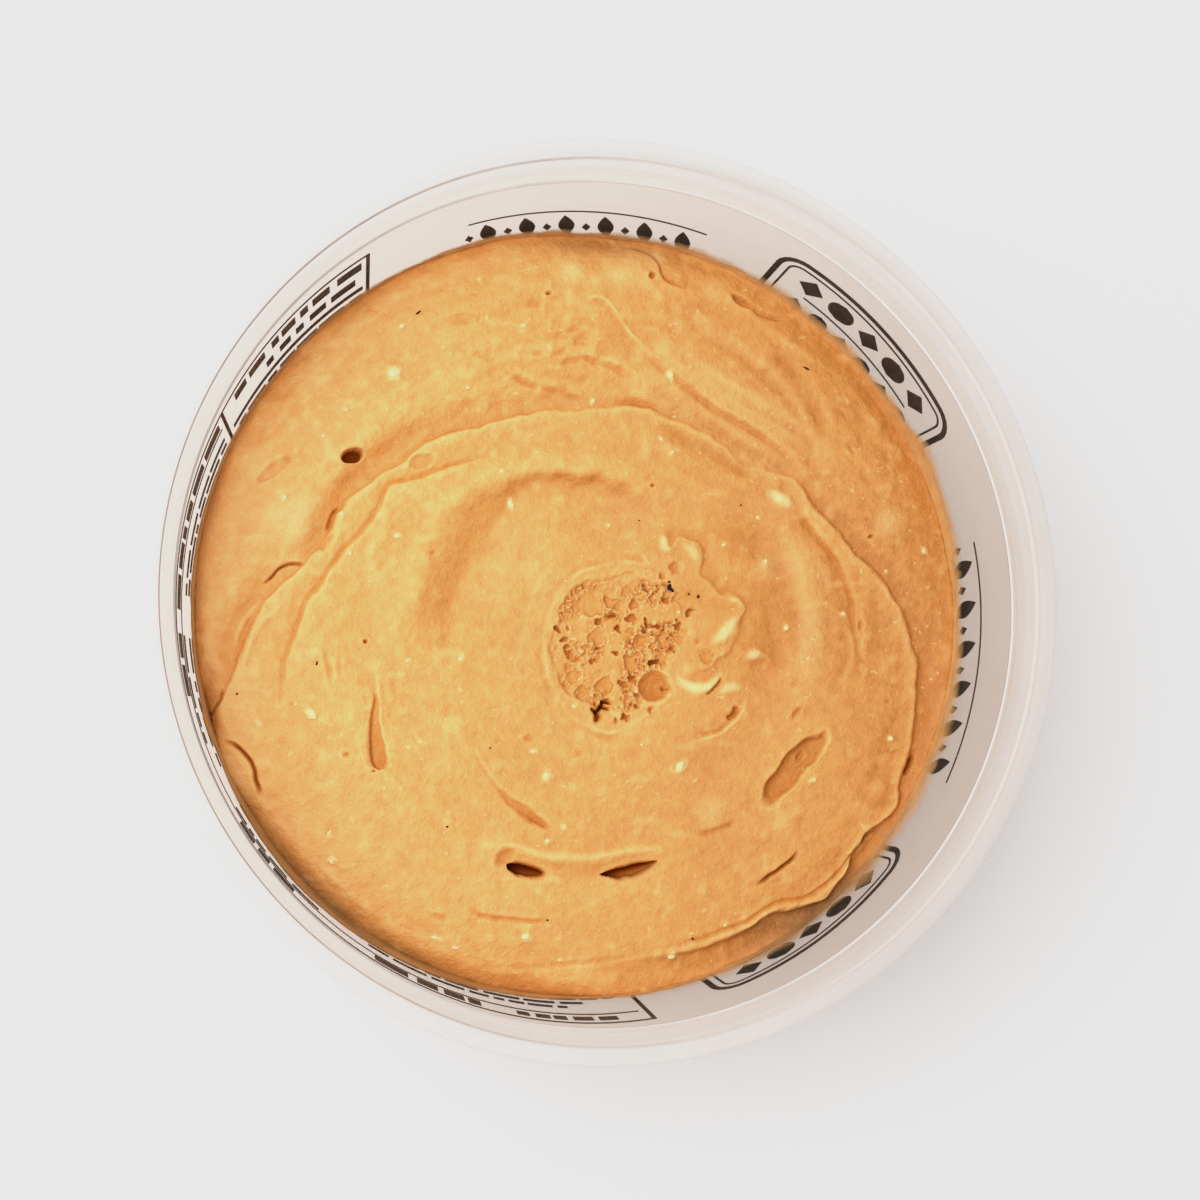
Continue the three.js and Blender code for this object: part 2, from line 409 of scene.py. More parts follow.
# tiny dark specks: px, py, half length, half width (px), turn
SPECKS = [
    (418, 313.5, 3.6, 1.0, 40), (805.4, 368.7, 4.0, 1.2, -28), (316.5, 663.8, 2.6, 1.0, 75),
    (447, 826.5, 1.3, 1.1, 0), (692, 938.5, 1.5, 1.3, 0), (236.6, 694, 1.3, 0.9, 30),
    (547, 920, 1.2, 0.9, 0), (490, 748, 1.1, 0.9, 0), (741, 505, 1.0, 0.9, 0),
    (640, 520, 1.0, 0.8, 0),
]


def oval_coords(x, y, px, py, a, b, turn):
    cx, cy = at(px, py)
    c, s = math.cos(math.radians(turn)), math.sin(math.radians(turn))
    u = ((x - cx) * c + (y - cy) * s) / (a / PX)
    v = (-(x - cx) * s + (y - cy) * c) / (b / PX)
    return u, v


# pores of the foamy patch, seeded and kept apart: place, radius, depth in mm
def make_pores():
    pores = []
    cx, cy = at(624, 645)
    for k in range(5200):
        a = rng.random() * 2 * math.pi
        r = 10.2 * math.sqrt(rng.random())
        x, y = cx + r * math.cos(a) * 1.04, cy + r * math.sin(a)
        size = 0.11 + 0.26 * rng.random() ** 2.0
        if any((x - u) ** 2 + (y - v) ** 2 < (0.86 * (size + q)) ** 2 for u, v, q, w in pores):
            continue
        pores.append((x, y, size, size * (0.45 + 1.1 * rng.random())))
        if len(pores) > 240:
            break
    return pores


PORES = make_pores()
# the pores that stand out: px, py, radius px, depth mm
BIG_PORES = [
    (655, 686, 15.5, 1.4), (668.4, 689, 3.0, 2.6), (655, 661, 4.2, 1.8), (590, 603, 14, 0.45), (598, 637, 7, 0.5),
    (641.6, 642, 7, 0.9), (632.7, 662.5, 8, 0.8), (664.6, 639, 8, 0.7), (706.7, 655, 6.2, 0.8),
    (575, 675, 7, 0.5), (612, 600, 6, 0.6), (636, 602, 6, 0.8),
    (627.6, 716, 4.0, 1.1), (637.8, 709, 2.4, 1.1), (648, 709.7, 2.6, 0.9), (620, 719, 3.2, 0.9),
    (606, 684, 9, 0.7), (680, 623, 4, 0.8), (674.8, 653.6, 2.2, 0.9), (686.8, 652, 2.2, 0.8),
    (558, 628, 3.0, 0.9), (565, 640, 3.4, 0.8), (570, 652, 4.0, 0.8), (584, 692, 6, 0.6),
    (600, 624, 4.0, 1.0), (619, 628, 3.2, 1.1), (632, 616, 4.2, 0.9), (648, 588, 3.2, 0.8),
    (690, 612, 3.6, 0.9), (668, 602, 4.4, 0.9), (616, 655, 3.4, 0.9), (626, 681, 4.4, 0.8),
    (700, 640, 3.0, 0.7), (676, 567, 5.5, 0.9), (660, 574, 4.4, 0.7), (610, 700, 4.4, 1.0),
    (593, 660, 4.0, 0.8), (641, 696, 3.4, 0.8), (650, 624, 3.0, 0.9), (733, 713, 4.6, 0.9),
]


def inside_patch(x, y):
    """1 in the foamy part, 0 outside it."""
    cx, cy = at(622, 646)
    a = np.arctan2(y - cy, x - cx)
    r = np.hypot(x - cx, y - cy)
    edge = 9.9 + 0.7 * noise(a * 3.0, r * 0 + 4.0, 1.0, 5) + 0.25 * noise(x, y, 1.3, 8)
    # the upper right reaches a little further, the lower right is smooth
    edge = edge + 1.4 * gauss(a - 0.75, 0.5) - 3.4 * gauss(a + 0.55, 0.62)
    return smooth(0.0, 0.9, edge - r)


def bearing(ang, centre, width):
    """1 towards this bearing in degrees, falling off either side of it."""
    d = np.angle(np.exp(1j * (ang - math.radians(centre))))
    return np.exp(-((d / math.radians(width)) ** 2))


def relief(x, y):
    """Height above the level in mm, and three tones from 0 to 1: deep (painted
    shade: darker and more orange in hollows, creases, pits and against the
    wall), pale (the curds' own colour, and painted highlights on crests and
    rises) and foam."""
    n = len(x)
    h = np.zeros(n)
    deep, pale = np.zeros(n), np.zeros(n)

    # paints shade: raises the deep tone where a hollow, crease or drop lies in shade
    def darken(i, value):
        deep[i] = np.maximum(deep[i], value)

    # a slight wander keeps the edges from being ruled lines
    wx = x + 0.11 * noise(x, y, 1.1, 1) + 0.32 * noise(x, y, 4.6, 2)
    wy = y + 0.11 * noise(x, y, 1.1, 3) + 0.32 * noise(x, y, 4.6, 4)
    r = np.hypot(x, y)
    ang = np.arctan2(y, x)

    # unevenness at several scales, the middle one drawn out along the swirl
    cx, cy = at(590, 640)
    sr = np.hypot(x - cx, y - cy)
    sa = np.arctan2(y - cy, x - cx)
    calm = 1 - 0.7 * gauss(np.hypot(x - at(510, 610)[0], y - at(510, 610)[1]), 8.0)
    h += 0.30 * fbm(x, y, 14, 2, 21)
    h += 0.085 * fbm(wx, wy, 4.2, 3, 25) * calm
    swirl = fbm(sr + 0.4 * noise(x, y, 6, 31), sa * 8.0, 2.1, 3, 33)
    drawn = 0.30 + 0.70 * smooth(20, 30, sr) * smooth(-0.6, 0.4, np.sin(sa + 0.2))
    h += 0.12 * swirl * drawn * calm
    fine = fbm(sr, sa * 9.0, 1.0, 2, 37)
    h += 0.045 * fine * (0.4 + 0.6 * drawn) * calm
    lumpy = fbm(wx, wy, 1.9, 3, 41)
    h += 0.050 * lumpy * calm
    # a scatter of small soft bumps and dimples
    bumps = noise(wx, wy, 1.5, 43)
    h += 0.10 * smooth(0.50, 0.85, bumps) * calm - 0.08 * smooth(0.55, 0.9, -bumps) * calm
    pale = np.maximum(pale, 0.14 * smooth(0.5, 0.9, bumps) * calm)
    # the lower left is rougher
    rough = gauss(x - at(400, 770)[0], 10) * gauss(y - at(400, 770)[1], 13)
    h += rough * 0.16 * fbm(wx, wy, 1.3, 3, 45)
    # fine creases that follow the swirl
    lines = np.clip(1 - 3.0 * np.abs(fbm(sr + 0.7 * noise(x, y, 4.5, 31), sa * 7, 2.6, 2, 34)), 0, 1)
    h -= 0.10 * lines**2 * (0.25 + 0.75 * drawn) * calm
    lines = np.clip(1 - 3.4 * np.abs(fbm(sr + 0.5 * noise(x, y, 3.0, 36), sa * 11, 1.3, 2, 39)), 0, 1)
    h += 0.06 * lines**2 * (0.35 + 0.65 * drawn) * calm

    # the spread draws down to the wall, most at the lower left, where a lobe
    # stands against it
    u, v = oval_coords(wx, wy, 238, 771, 35, 13.0, -64)
    lobe = np.exp(-((u * u + v * v) ** 2.2))
    dip = (
        0.55 - 0.35 * smooth(0.1, 0.8, np.cos(ang)) + 0.62 * bearing(ang, -133, 33) + 0.15 * bearing(ang, 176, 26) + 0.4 * bearing(ang, 128, 25)
        + 0.4 * bearing(ang, 86, 16) + 1.1 * bearing(ang, 47, 28) + 0.5 * bearing(ang, -90, 20)
        + 0.9 * bearing(ang, -164, 4.5) + 0.5 * bearing(ang, 142, 20)
    )
    dip = dip * (1 + 0.34 * noise(ang * 4, r * 0, 1.0, 12) + 0.18 * noise(ang * 13, r * 0, 1.0, 15))
    wide = (
        1.8 + 1.1 * bearing(ang, -133, 33) + 0.6 * bearing(ang, 176, 26) + 3.4 * bearing(ang, 47, 28)
        + 1.6 * bearing(ang, 86, 16) + 1.4 * bearing(ang, -90, 20) + 3.0 * bearing(ang, 140, 24)
    )
    wide = wide * (1 + 0.30 * noise(ang * 5, r * 0 + 3, 1.0, 13) + 0.20 * noise(ang * 16, r * 0 + 3, 1.0, 14))
    wide = wide * (1 + 0.22 * fbm(x, y, 2.6, 2, 16))
    near = np.clip(1 - (52.05 - r) / wide, 0, 1) * (1 - 0.85 * lobe)
    h -= dip * near**1.4
    h += 0.35 * lobe
    # painted shade where the spread draws down to the wall
    deep = np.maximum(deep, np.clip(0.02 + 0.10 * dip, 0, 0.30) * smooth(0.0, 0.70, near))
    climb = smooth(0.0, 0.6, np.cos(ang)) * np.clip(1 - (52.05 - r) / 1.7, 0, 1) ** 2
    h += 0.50 * climb
    # painted shade: a darker olive band a little inside the wall at the upper right and the top
    band = np.exp(-((52.05 - r - 2.6) / 2.0) ** 2) * (0.30 * bearing(ang, 44, 17) + 0.26 * bearing(ang, 84, 15))
    deep = np.maximum(deep, band * (1 + 0.4 * fbm(wx, wy, 3.0, 3, 94)))
    # painted shadow of the wall at the lower left, darkest right against it
    core = 0.36 * bearing(ang, -135, 30) + 0.5 * bearing(ang, -164, 5)
    deep = np.maximum(deep, core * near**6)

    # broad shape: shoulder outside, hollow in the middle
    h += 0.45 * smooth(27, 38, r)
    h -= 0.5 * (1 - smooth(6, 24, sr))
    lower_right = smooth(-0.2, 0.9, np.cos(ang + 0.75))
    h -= 0.3 * smooth(44, 50, r) * lower_right

    # swirl lip: crest on the inner side, drop and valley on the outer side
    lx, ly = wx + 0.20 * noise(x, y, 1.7, 101), wy + 0.20 * noise(x, y, 1.7, 102)
    i, d, t = LIP.near(lx, ly, 9.0)
    left = 1 - smooth(0.26, 0.36, t)
    low = smooth(0.725, 0.765, t)
    right = smooth(0.487, 0.515, t) * (1 - low)
    top = np.clip(1 - left - low - right, 0, 1)
    drop = 0.80 * left + 0.26 * top + 0.55 * right + 1.1 * low
    valley_at = 1.2 * left + 0.6 * top + 1.0 * right + 1.5 * low
    valley_w = 2.3 * left + 1.6 * top + 2.4 * right + 2.4 * low
    crest = 0.26 * left + 0.14 * top + 0.38 * right + 0.26 * low
    fade = smooth(0.0, 0.03, t) * smooth(0, 0.16, 1 - t)
    step = smooth(-0.14 - 0.22 * right, 0.30 + 0.25 * low + 0.30 * right, d)
    outer = -drop * step * np.exp(-np.clip(d - valley_at, 0, None) ** 2 / valley_w**2)
    inner = crest * np.exp(-((np.clip(-d, 0, None) / 1.5) ** 2)) * (1 - step)
    h[i] += (outer + inner) * fade
    h[i] += fade * low * 0.20 * fbm(lx[i], ly[i], 1.5, 2, 103) * gauss(d, 1.6)
    worn = 0.45 + 0.55 * smooth(-0.4, 0.4, noise(t * 26, t * 0 + 2, 1.0, 11))
    # painted shade along the drop outside the lip
    darken(i, fade * worn * gauss(d - 0.18, 0.18) * (0.42 * left + 0.12 * top + 0.10 * right + 0.60 * low))
    darken(i, fade * (0.05 * right + 0.09 * left + 0.30 * low * (0.75 + 0.5 * noise(t * 30, t * 0, 1.0, 95))) * smooth(-0.1, 0.7, d) * np.exp(-((np.clip(d - 1.2, 0, None) / 1.8) ** 2)))
    # painted highlight: a bright edge on the crest
    pale[i] = np.maximum(pale[i], fade * 0.20 * gauss(d + 0.45, 0.32) * (0.6 + 0.6 * low))
    pale[i] = np.maximum(pale[i], fade * (1.3 - worn) * 0.34 * gauss(d + 0.16, 0.15) * (0.6 * left + right + low))
    # the upper lip near the middle of the top curls over its own shadow
    curl = gauss(t - 0.374, 0.013)
    h[i] += curl * (0.40 * np.exp(-(((d + 0.5) / 0.7) ** 2)) - 0.75 * gauss(d - 0.35, 0.5))
    darken(i, 0.60 * curl * gauss(d - 0.25, 0.36))
    i, d, t = LIP_TWIN.near(wx, wy, 2.4)
    e = ends(t, 0.05, 0.3)
    h[i] -= e * 0.42 * gauss(d, 0.24)
    h[i] += e * 0.20 * gauss(d - 0.75, 0.4)
    # painted shade in the twin edge's groove
    darken(i, 0.50 * e * gauss(d, 0.20))

    for path, size, width, lift in (
        (CREASE_LEFT, 0.62, 0.26, 0.36), (CREASE_RIGHT, 0.55, 0.30, 0.36),
    ):
        i, d, t = path.near(wx, wy, 4.5)
        e = ends(t, 0.12, 0.3)
        h[i] -= e * size * gauss(d - 0.1, width)
        h[i] += e * lift * np.where(d > 0, np.exp(-d / 1.9), -0.8 * np.exp(d / 2.0)) * np.tanh(np.abs(d) * 3)
        firm = 0.60 + 0.40 * smooth(-0.2, 0.5, noise(t * 9, t * 0, 1.0, 17) + (0.5 - t))
        # painted shade in the crease and on its inner slope
        darken(i, 0.50 * e * firm * gauss(d - 0.1, width * 0.9))
        darken(i, 0.13 * e * gauss(d + 0.9, 0.9))

    # the valley outside the lip at the upper left, with painted shade in it
    i, d, t = GULLY.near(wx, wy, 5.0)
    e = ends(t, 0.2, 0.35)
    h[i] -= e * 0.75 * gauss(d, 1.5)
    darken(i, 0.34 * e * gauss(d - 0.1, 1.45) * (0.8 + 0.3 * lumpy[i]))

    # the inner hollow: down to the right of the path's direction, with painted shade on its slope
    ragged = fbm(x, y, 2.4, 3, 18)
    i, d, t = HOLLOW.near(wx + 0.9 * ragged, wy + 0.9 * fbm(x, y, 2.4, 3, 19), 12.0)
    e = ends(t, 0.22, 0.2)
    wide_left = 1 - smooth(0.40, 0.66, t)
    w = 0.9 + 2.1 * wide_left
    fall = 0.95 + 0.35 * wide_left
    h[i] += e * fall * ((1 - smooth(-1, 1, d / w)) * -np.exp(-np.clip(-d - w, 0, None) / 5.5)) + e * 0.30 * gauss(d - w - 0.8, 1.8)
    sharp = gauss(t - 0.70, 0.15)
    h[i] -= e * sharp * 0.40 * gauss(d, 0.36)
    body = smooth(0.15, 0.75, gauss(d - 0.2, w * 1.15) * (1 + 0.35 * ragged[i]))
    darken(i, e * (0.30 * body * (0.80 + 0.5 * lumpy[i]) + 0.34 * sharp * gauss(d, 0.42)))

    # right of the patch a valley with painted shade, then the rise with a painted highlight
    i, d, t = VALLEY.near(wx + 0.8 * ragged, wy, 9.0)
    e = ends(t, 0.25, 0.3)
    h[i] -= e * 0.80 * gauss(d, 2.9)
    body = smooth(0.12, 0.8, gauss(d + 0.3, 3.3) * (1 + 0.4 * ragged[i]))
    darken(i, 0.20 * e * body * (0.85 + 0.5 * lumpy[i]))
    i, d, t = SUNNY.near(wx, wy, 8.0)
    e = ends(t, 0.25, 0.3)
    h[i] += e * 0.42 * gauss(d, 2.6)
    pale[i] = np.maximum(pale[i], 0.12 * e * smooth(0.2, 0.8, gauss(d - 0.3, 2.4) * (1 + 0.35 * ragged[i])))

    # falling streaks at the upper right, with painted shade in the troughs and painted highlights on the crests
    i, d, t = FALLS[1].near(wx, wy, 12.0)
    stream = fbm(d + 0.5 * noise(x[i], y[i], 4.0, 57), t * 5.0, 1.5, 3, 55)
    band = fbm(d + 0.9 * noise(x[i], y[i], 6.0, 54), t * 2.2, 3.0, 2, 53)
    e = ends(t, 0.08, 0.12) * gauss(d - 0.5, 7.5)
    h[i] += (0.17 * stream + 0.60 * band) * e
    darken(i, 0.30 * e * smooth(0.05, 0.45, -band))
    pale[i] = np.maximum(pale[i], 0.16 * e * smooth(0.05, 0.45, band))
    for path, rise, fall, width, dark in zip(
        FALLS, (0.34, 0.20, 0.10, 0.18, 0.24, 0.04, 0.20), (0.36, 0.26, 0.60, 0.26, 0.30, 0.50, 0.08),
        (0.42, 0.7, 1.0, 0.8, 0.8, 1.2, 0.36), (0.26, 0.14, 0.30, 0.14, 0.16, 0.24, 0.0),
    ):
        i, d, t = path.near(wx, wy, 3.0)
        e = ends(t, 0.2, 0.2) * (0.75 + 0.35 * noise(t * 6, t * 0 + width, 1.0, 58))
        h[i] += e * (rise * gauss(d - width, width) - fall * gauss(d + 0.7 * width, width))
        pale[i] = np.maximum(pale[i], 0.5 * rise * e * gauss(d - width, width))
        darken(i, dark * np.clip(e, 0, 1) * gauss(d + 0.7 * width, width))
    # pale stripes: a painted highlight along each ridge
    for path in STRIPES:
        i, d, t = path.near(wx, wy, 2.5)
        e = ends(t, 0.2, 0.3)
        h[i] += e * 0.36 * gauss(d, 0.46) - e * 0.24 * gauss(d + 0.95, 0.45)
        pale[i] = np.maximum(pale[i], 0.20 * e * gauss(d, 0.4))
    # a raised streak with a painted highlight along it and painted shade beside it
    i, d, t = STREAK.near(wx, wy, 2.5)
    e = ends(t, 0.1, 0.2)
    e = e * (0.6 + 0.4 * smooth(-0.4, 0.4, noise(t * 12, t * 0, 1.0, 92)))
    h[i] += e * (0.30 * gauss(d, 0.20) - 0.20 * gauss(d + 0.6, 0.35))
    pale[i] = np.maximum(pale[i], 0.55 * e * gauss(d, 0.18))
    darken(i, 0.16 * e * gauss(d + 0.6, 0.4))
    # the stirred zone at the top is ragged, with painted shade in its creases
    for k, path in enumerate(RIPPLES):
        i, d, t = path.near(wx + 0.25 * noise(x, y, 0.9, 59), wy + 0.25 * noise(x, y, 0.9, 60), 3.0)
        e = ends(t, 0.25, 0.35)
        e = e * (0.35 + 0.75 * smooth(-0.4, 0.4, noise(t * 9 + k * 5, t * 0, 1.0, 97)))
        h[i] -= e * 0.34 * gauss(d, 0.32)
        h[i] += e * 0.20 * gauss(d - 0.8, 0.5)
        darken(i, (0.36 if k == 0 else 0.26) * e * gauss(d, 0.34))
    zone = gauss(x - at(575, 345)[0], 11) * gauss(y - at(575, 345)[1], 6.0)
    h += zone * (0.24 * fbm(wx, wy * 1.4, 2.1, 3, 51) + 0.22 * np.abs(fbm(wx, wy, 1.1, 2, 52)))
    deep = np.maximum(deep, zone * 0.34 * smooth(0.16, 0.5, fbm(wx * 0.8 + wy * 0.5, wy * 1.7, 1.2, 3, 98)))

    # caves and the crest above them: painted highlight on the crest, painted shade below it
    i, d, t = CAVE_RIDGE.near(wx, wy, 5.0)
    e = ends(t, 0.15, 0.25)
    h[i] += e * 0.55 * gauss(d, 0.75)
    h[i] -= e * 0.30 * gauss(d + 2.3, 1.5)
    h[i] -= e * 0.20 * gauss(d - 2.0, 1.6)
    pale[i] = np.maximum(pale[i], 0.22 * e * gauss(d, 0.6))
    darken(i, 0.22 * e * gauss(d + 1.3, 0.7))

    # single folds, nicks and slits: path, depth, width, lift on the left, tone (painted shade in the groove)
    for path, size, width, lift, tone in (
        (FOLD, 0.95, 0.17, 0.30, 0.62), (LEFT_CREVICE, 1.0, 0.22, -0.4, 0.85),
        (LEFT_NOTCH, 0.8, 0.22, 0.1, 0.7), (NICK_1, 0.7, 0.20, -0.25, 0.46),
        (NICK_2, 0.6, 0.24, -0.25, 0.4), (LOW_GROOVE, 0.50, 0.24, 0.16, 0.50),
        (GROOVE_3, 0.34, 0.36, 0.14, 0.26), (SLIT, 0.95, 0.22, 0.14, 0.8),
        (RIGHT_SLIT, 1.2, 0.34, 0.15, 0.95), (TOP_FOLD, 0.60, 0.24, -0.35, 0.50),
        (TOP_GROOVE, 0.40, 0.45, 0.16, 0.35), (LOW_CREASE, 0.28, 0.30, -0.16, 0.25),
        (RIGHT_LEAF[0], 0.36, 0.26, 0.22, 0.30), (CRESCENT, 0.40, 0.30, -0.34, 0.18),
        (BROW, 0.90, 0.17, 0.0, 0.85),
    ):
        i, d, t = path.near(wx, wy, 3.2)
        e = ends(t, 0.28, 0.22)
        h[i] -= e * size * np.exp(-((np.abs(d) / width) ** 2.4))
        side = np.where(d > 0, 1.0, -1.0) * np.sign(lift)
        h[i] += e * abs(lift) * np.where(side > 0, np.exp(-(((np.abs(d) - width) / 1.1) ** 2)), 0.0)
        darken(i, tone * e * gauss(d, width * 0.95))
    # painted shade beside the top fold
    i, d, t = TOP_FOLD.near(wx, wy, 3.2)
    e = ends(t, 0.12, 0.2)
    darken(i, 0.26 * e * smooth(0.0, 0.4, d) * gauss(d, 1.7))
    # painted highlight beside the crescent
    i, d, t = CRESCENT.near(wx, wy, 2.0)
    pale[i] = np.maximum(pale[i], 0.40 * ends(t, 0.3, 0.2) * gauss(d + 0.42, 0.20))
    # a groove that widens to its deep end, with painted shade that is darkest there
    i, d, t = DIAG.near(wx, wy, 3.2)
    w = 0.12 + 0.62 * smooth(0.40, 0.80, t) * smooth(-0.02, 0.24, 1 - t)
    e = smooth(0, 0.2, t) * smooth(0, 0.04, 1 - t)
    h[i] -= e * (0.22 + 0.75 * smooth(0.3, 1, t)) * np.exp(-((np.abs(d) / w) ** 2.6))
    h[i] += e * 0.20 * gauss(d - w - 0.30, 0.4)
    darken(i, e * ((0.22 + 0.10 * t) * gauss(d, w) + 0.45 * smooth(0.5, 0.95, t) * gauss(d + 0.4 * w, 0.5 * w)))

    # the tall groove: narrow above, wide and round below, steep on its left, with painted shade inside it, darkest
    # along its left side, and a painted highlight on the ridge beside it
    cx0, cy0 = at(373.5, 692)
    u = (cy0 - wy) * PX / 74.0
    v = (wx - cx0) * PX - 6.2 * u
    half = (2.2 + 6.6 * smooth(0, 0.85, u)) * np.sqrt(np.clip(1 - (np.clip(u - 0.84, 0, None) / 0.17) ** 2, 0, 1)) + 1e-3
    body = smooth(-0.02, 0.08, u) * (u < 1.01)
    q = np.abs(v) / half
    h -= body * (0.35 + 0.85 * smooth(0, 0.9, u)) / (1 + q**7)
    deep = np.maximum(deep, body * (0.26 + 0.14 * u) * (1 - smooth(0.8, 1.1, q)) + body * 0.40 * gauss(v + half - 1.2, 1.4) * (half > 1))
    ridge = smooth(-0.5, 0.0, u) * (1 - smooth(0.75, 1.05, u)) * gauss(v - np.maximum(half, 2.4) - 1.0, 2.0)
    h += 0.20 * ridge
    pale = np.maximum(pale, 0.30 * ridge)
    # the slanting pocket at the lower right: flat floor, steep upper left side, painted shade inside and a painted
    # highlight on its rim
    u, v = oval_coords(wx, wy, 793.0, 769.0, 41.0, 11.6, 50)
    v = v + 0.07 * u * u - 0.02 + 0.16 * noise(u * 2.4, u * 0, 1.0, 96)
    rho = (np.abs(u) ** 2.5 + np.abs(v) ** 2.5) ** 0.4
    h -= 1.25 / (1 + rho**14)
    deep = np.maximum(deep, (0.30 + 0.26 * smooth(-0.1, 0.9, v) + 0.12 * smooth(0.2, 0.9, -u)) * (1 - smooth(0.86, 1.04, rho)))
    h += 0.14 * gauss((rho - 1.16) * 2.0, 0.22)
    pale = np.maximum(pale, 0.30 * gauss((rho - 1.12) * 2.0, 0.16) * smooth(-0.3, 0.6, -v))

    # painted shade inside the caves and a painted highlight on their rim
    for (ax, ay), (bx, by), up, down, size, blunt in CAVES:
        (ax, bx), (ay, by) = at([ax, bx], [ay, by])
        long = math.hypot(bx - ax, by - ay)
        ux, uy = (bx - ax) / long, (by - ay) / long
        gx, gy = 0.5 * (x + wx), 0.5 * (y + wy)
        u = ((gx - ax) * ux + (gy - ay) * uy) / long
        v = (gx - ax) * uy - (gy - ay) * ux
        arch = np.sin(np.pi * np.clip(u, 0, 1)) ** blunt
        ragged_edge = 1 + 0.16 * noise(u * 7, u * 0, 1.0, 93)
        up_v, down_v = up / PX * arch, down / PX * arch * ragged_edge
        half = (up_v + down_v) / 2 + 1e-3
        q = (v - (down_v - up_v) / 2) / half
        inside = (u > 0) & (u < 1)
        h -= inside * size * smooth(0, 0.25, arch) / (1 + np.clip(np.abs(q), 0, 9) ** 9)
        deep = np.maximum(deep, inside * (1.0 - (0.34 if up < 3 else 0.12) * smooth(-0.6, 0.8, q) * smooth(0.1, 0.6, u)) * (1 - smooth(0.90, 1.06, np.abs(q))))
        pale = np.maximum(pale, inside * 0.25 * gauss((q - 1.15) * half, 0.16) * smooth(0.1, 0.5, arch))

    # ovals and holes, with painted shade inside
    for px, py, a, b, turn, size, hard, tone in OVALS:
        cx0, cy0 = at(px, py)
        reach = 2.2 * max(a, b) / PX + 0.4
        i = np.nonzero((np.abs(x - cx0) < reach) & (np.abs(y - cy0) < reach))[0]
        u, v = oval_coords(x[i] + 0.6 * (wx[i] - x[i]), y[i] + 0.6 * (wy[i] - y[i]), px, py, a, b, turn)
        rho = np.sqrt(u * u + v * v)
        out = (rho - 1) * min(a, b) / PX
        h[i] -= size / (1 + rho ** (2 * hard)) if hard > 4 else size * np.exp(-(rho ** hard))
        h[i] += min(0.14, size * 0.25) * gauss(out - 0.28, 0.25)
        darken(i, tone * (1 - (smooth(0.90, 1.04, rho) if tone > 0.9 else smooth(0.75, 1.08, rho))))
        if tone == 0.12:
            darken(i, 0.34 * gauss(out, 0.11))
    for px, py, rad, size in SWELLS:
        cx0, cy0 = at(px, py)
        q = np.hypot(wx - cx0, wy - cy0) / (rad / PX)
        h += size * np.exp(-(q**2.2))
        # painted highlight on the taller swellings
        if size > 0.15:
            pale = np.maximum(pale, 0.42 * np.exp(-(q**2.4)) * smooth(0.10, 0.40, size) * (0.8 + 0.3 * lumpy))

    # the shelf beside the patch: level, with a ragged edge that drops outward, a painted highlight on the edge and
    # painted shade below it
    fx0, fy0 = x + 0.2 * noise(x, y, 0.8, 65), y + 0.2 * noise(x, y, 0.8, 66)
    i, d, t = SHELF.near(wx + 0.10 * ragged, wy, 5.0)
    e = ends(t, 0.06, 0.08)
    rise = smooth(-0.20, 0.12, -d)
    firm = 0.25 + 0.75 * smooth(-0.3, 0.3, noise(t * 11, t * 0, 1.0, 62))
    h[i] += e * (0.22 * rise * np.exp(-((np.clip(-d, 0, None) / 1.2) ** 2)) - 0.24 * (1 - rise) * np.exp(-((np.clip(d, 0, None) / 1.8) ** 2)))
    pale[i] = np.maximum(pale[i], e * firm * 0.36 * gauss(d + 0.20, 0.16))
    darken(i, e * (0.30 * firm * gauss(d - 0.16, 0.20) + 0.16 * (1 - rise) * gauss(d - 0.9, 1.6)))
    shelf = np.zeros(n)
    shelf[i] = e * rise * gauss(np.clip(-d - 2.5, 0, None), 1.5)
    shelf = shelf * (1 - inside_patch(x, y))
    deep = np.maximum(deep, shelf * (0.10 + 0.16 * smooth(-0.1, 0.5, fbm(fx0, fy0, 1.6, 3, 99))))

    # foamy patch: a shallow dish with a soft raised edge, full of torn pores
    foam = inside_patch(x, y)
    h -= 0.36 * smooth(0, 1, foam)
    i, d, t = PATCH_EDGE.near(wx + 0.45 * ragged, wy + 0.3 * lumpy, 3.0)
    e = ends(t, 0.1, 0.12) * (0.25 + 0.75 * smooth(-0.2, 0.5, noise(t * 14, t * 0, 1.0, 64)))
    h[i] += e * (0.22 * gauss(d - 0.1, 0.26) - 0.14 * gauss(d + 0.5, 0.3) + 0.10 * gauss(d + 1.3, 0.35))
    # painted highlight on the raised edge, painted shade inside it
    pale[i] = np.maximum(pale[i], 0.34 * e * gauss(d - 0.1, 0.24))
    darken(i, 0.18 * e * gauss(d + 0.5, 0.28))
    fx, fy = x + 0.22 * noise(x, y, 0.62, 65) + 0.30 * noise(x, y, 1.4, 67), y + 0.22 * noise(x, y, 0.62, 66) + 0.30 * noise(x, y, 1.4, 68)
    h += foam * (0.20 * fbm(x, y, 2.3, 2, 61) + 0.13 * fbm(fx, fy, 0.9, 2, 63)) + shelf * 0.14 * fbm(fx, fy, 1.2, 3, 62)
    pit, rim = np.zeros(n), np.zeros(n)
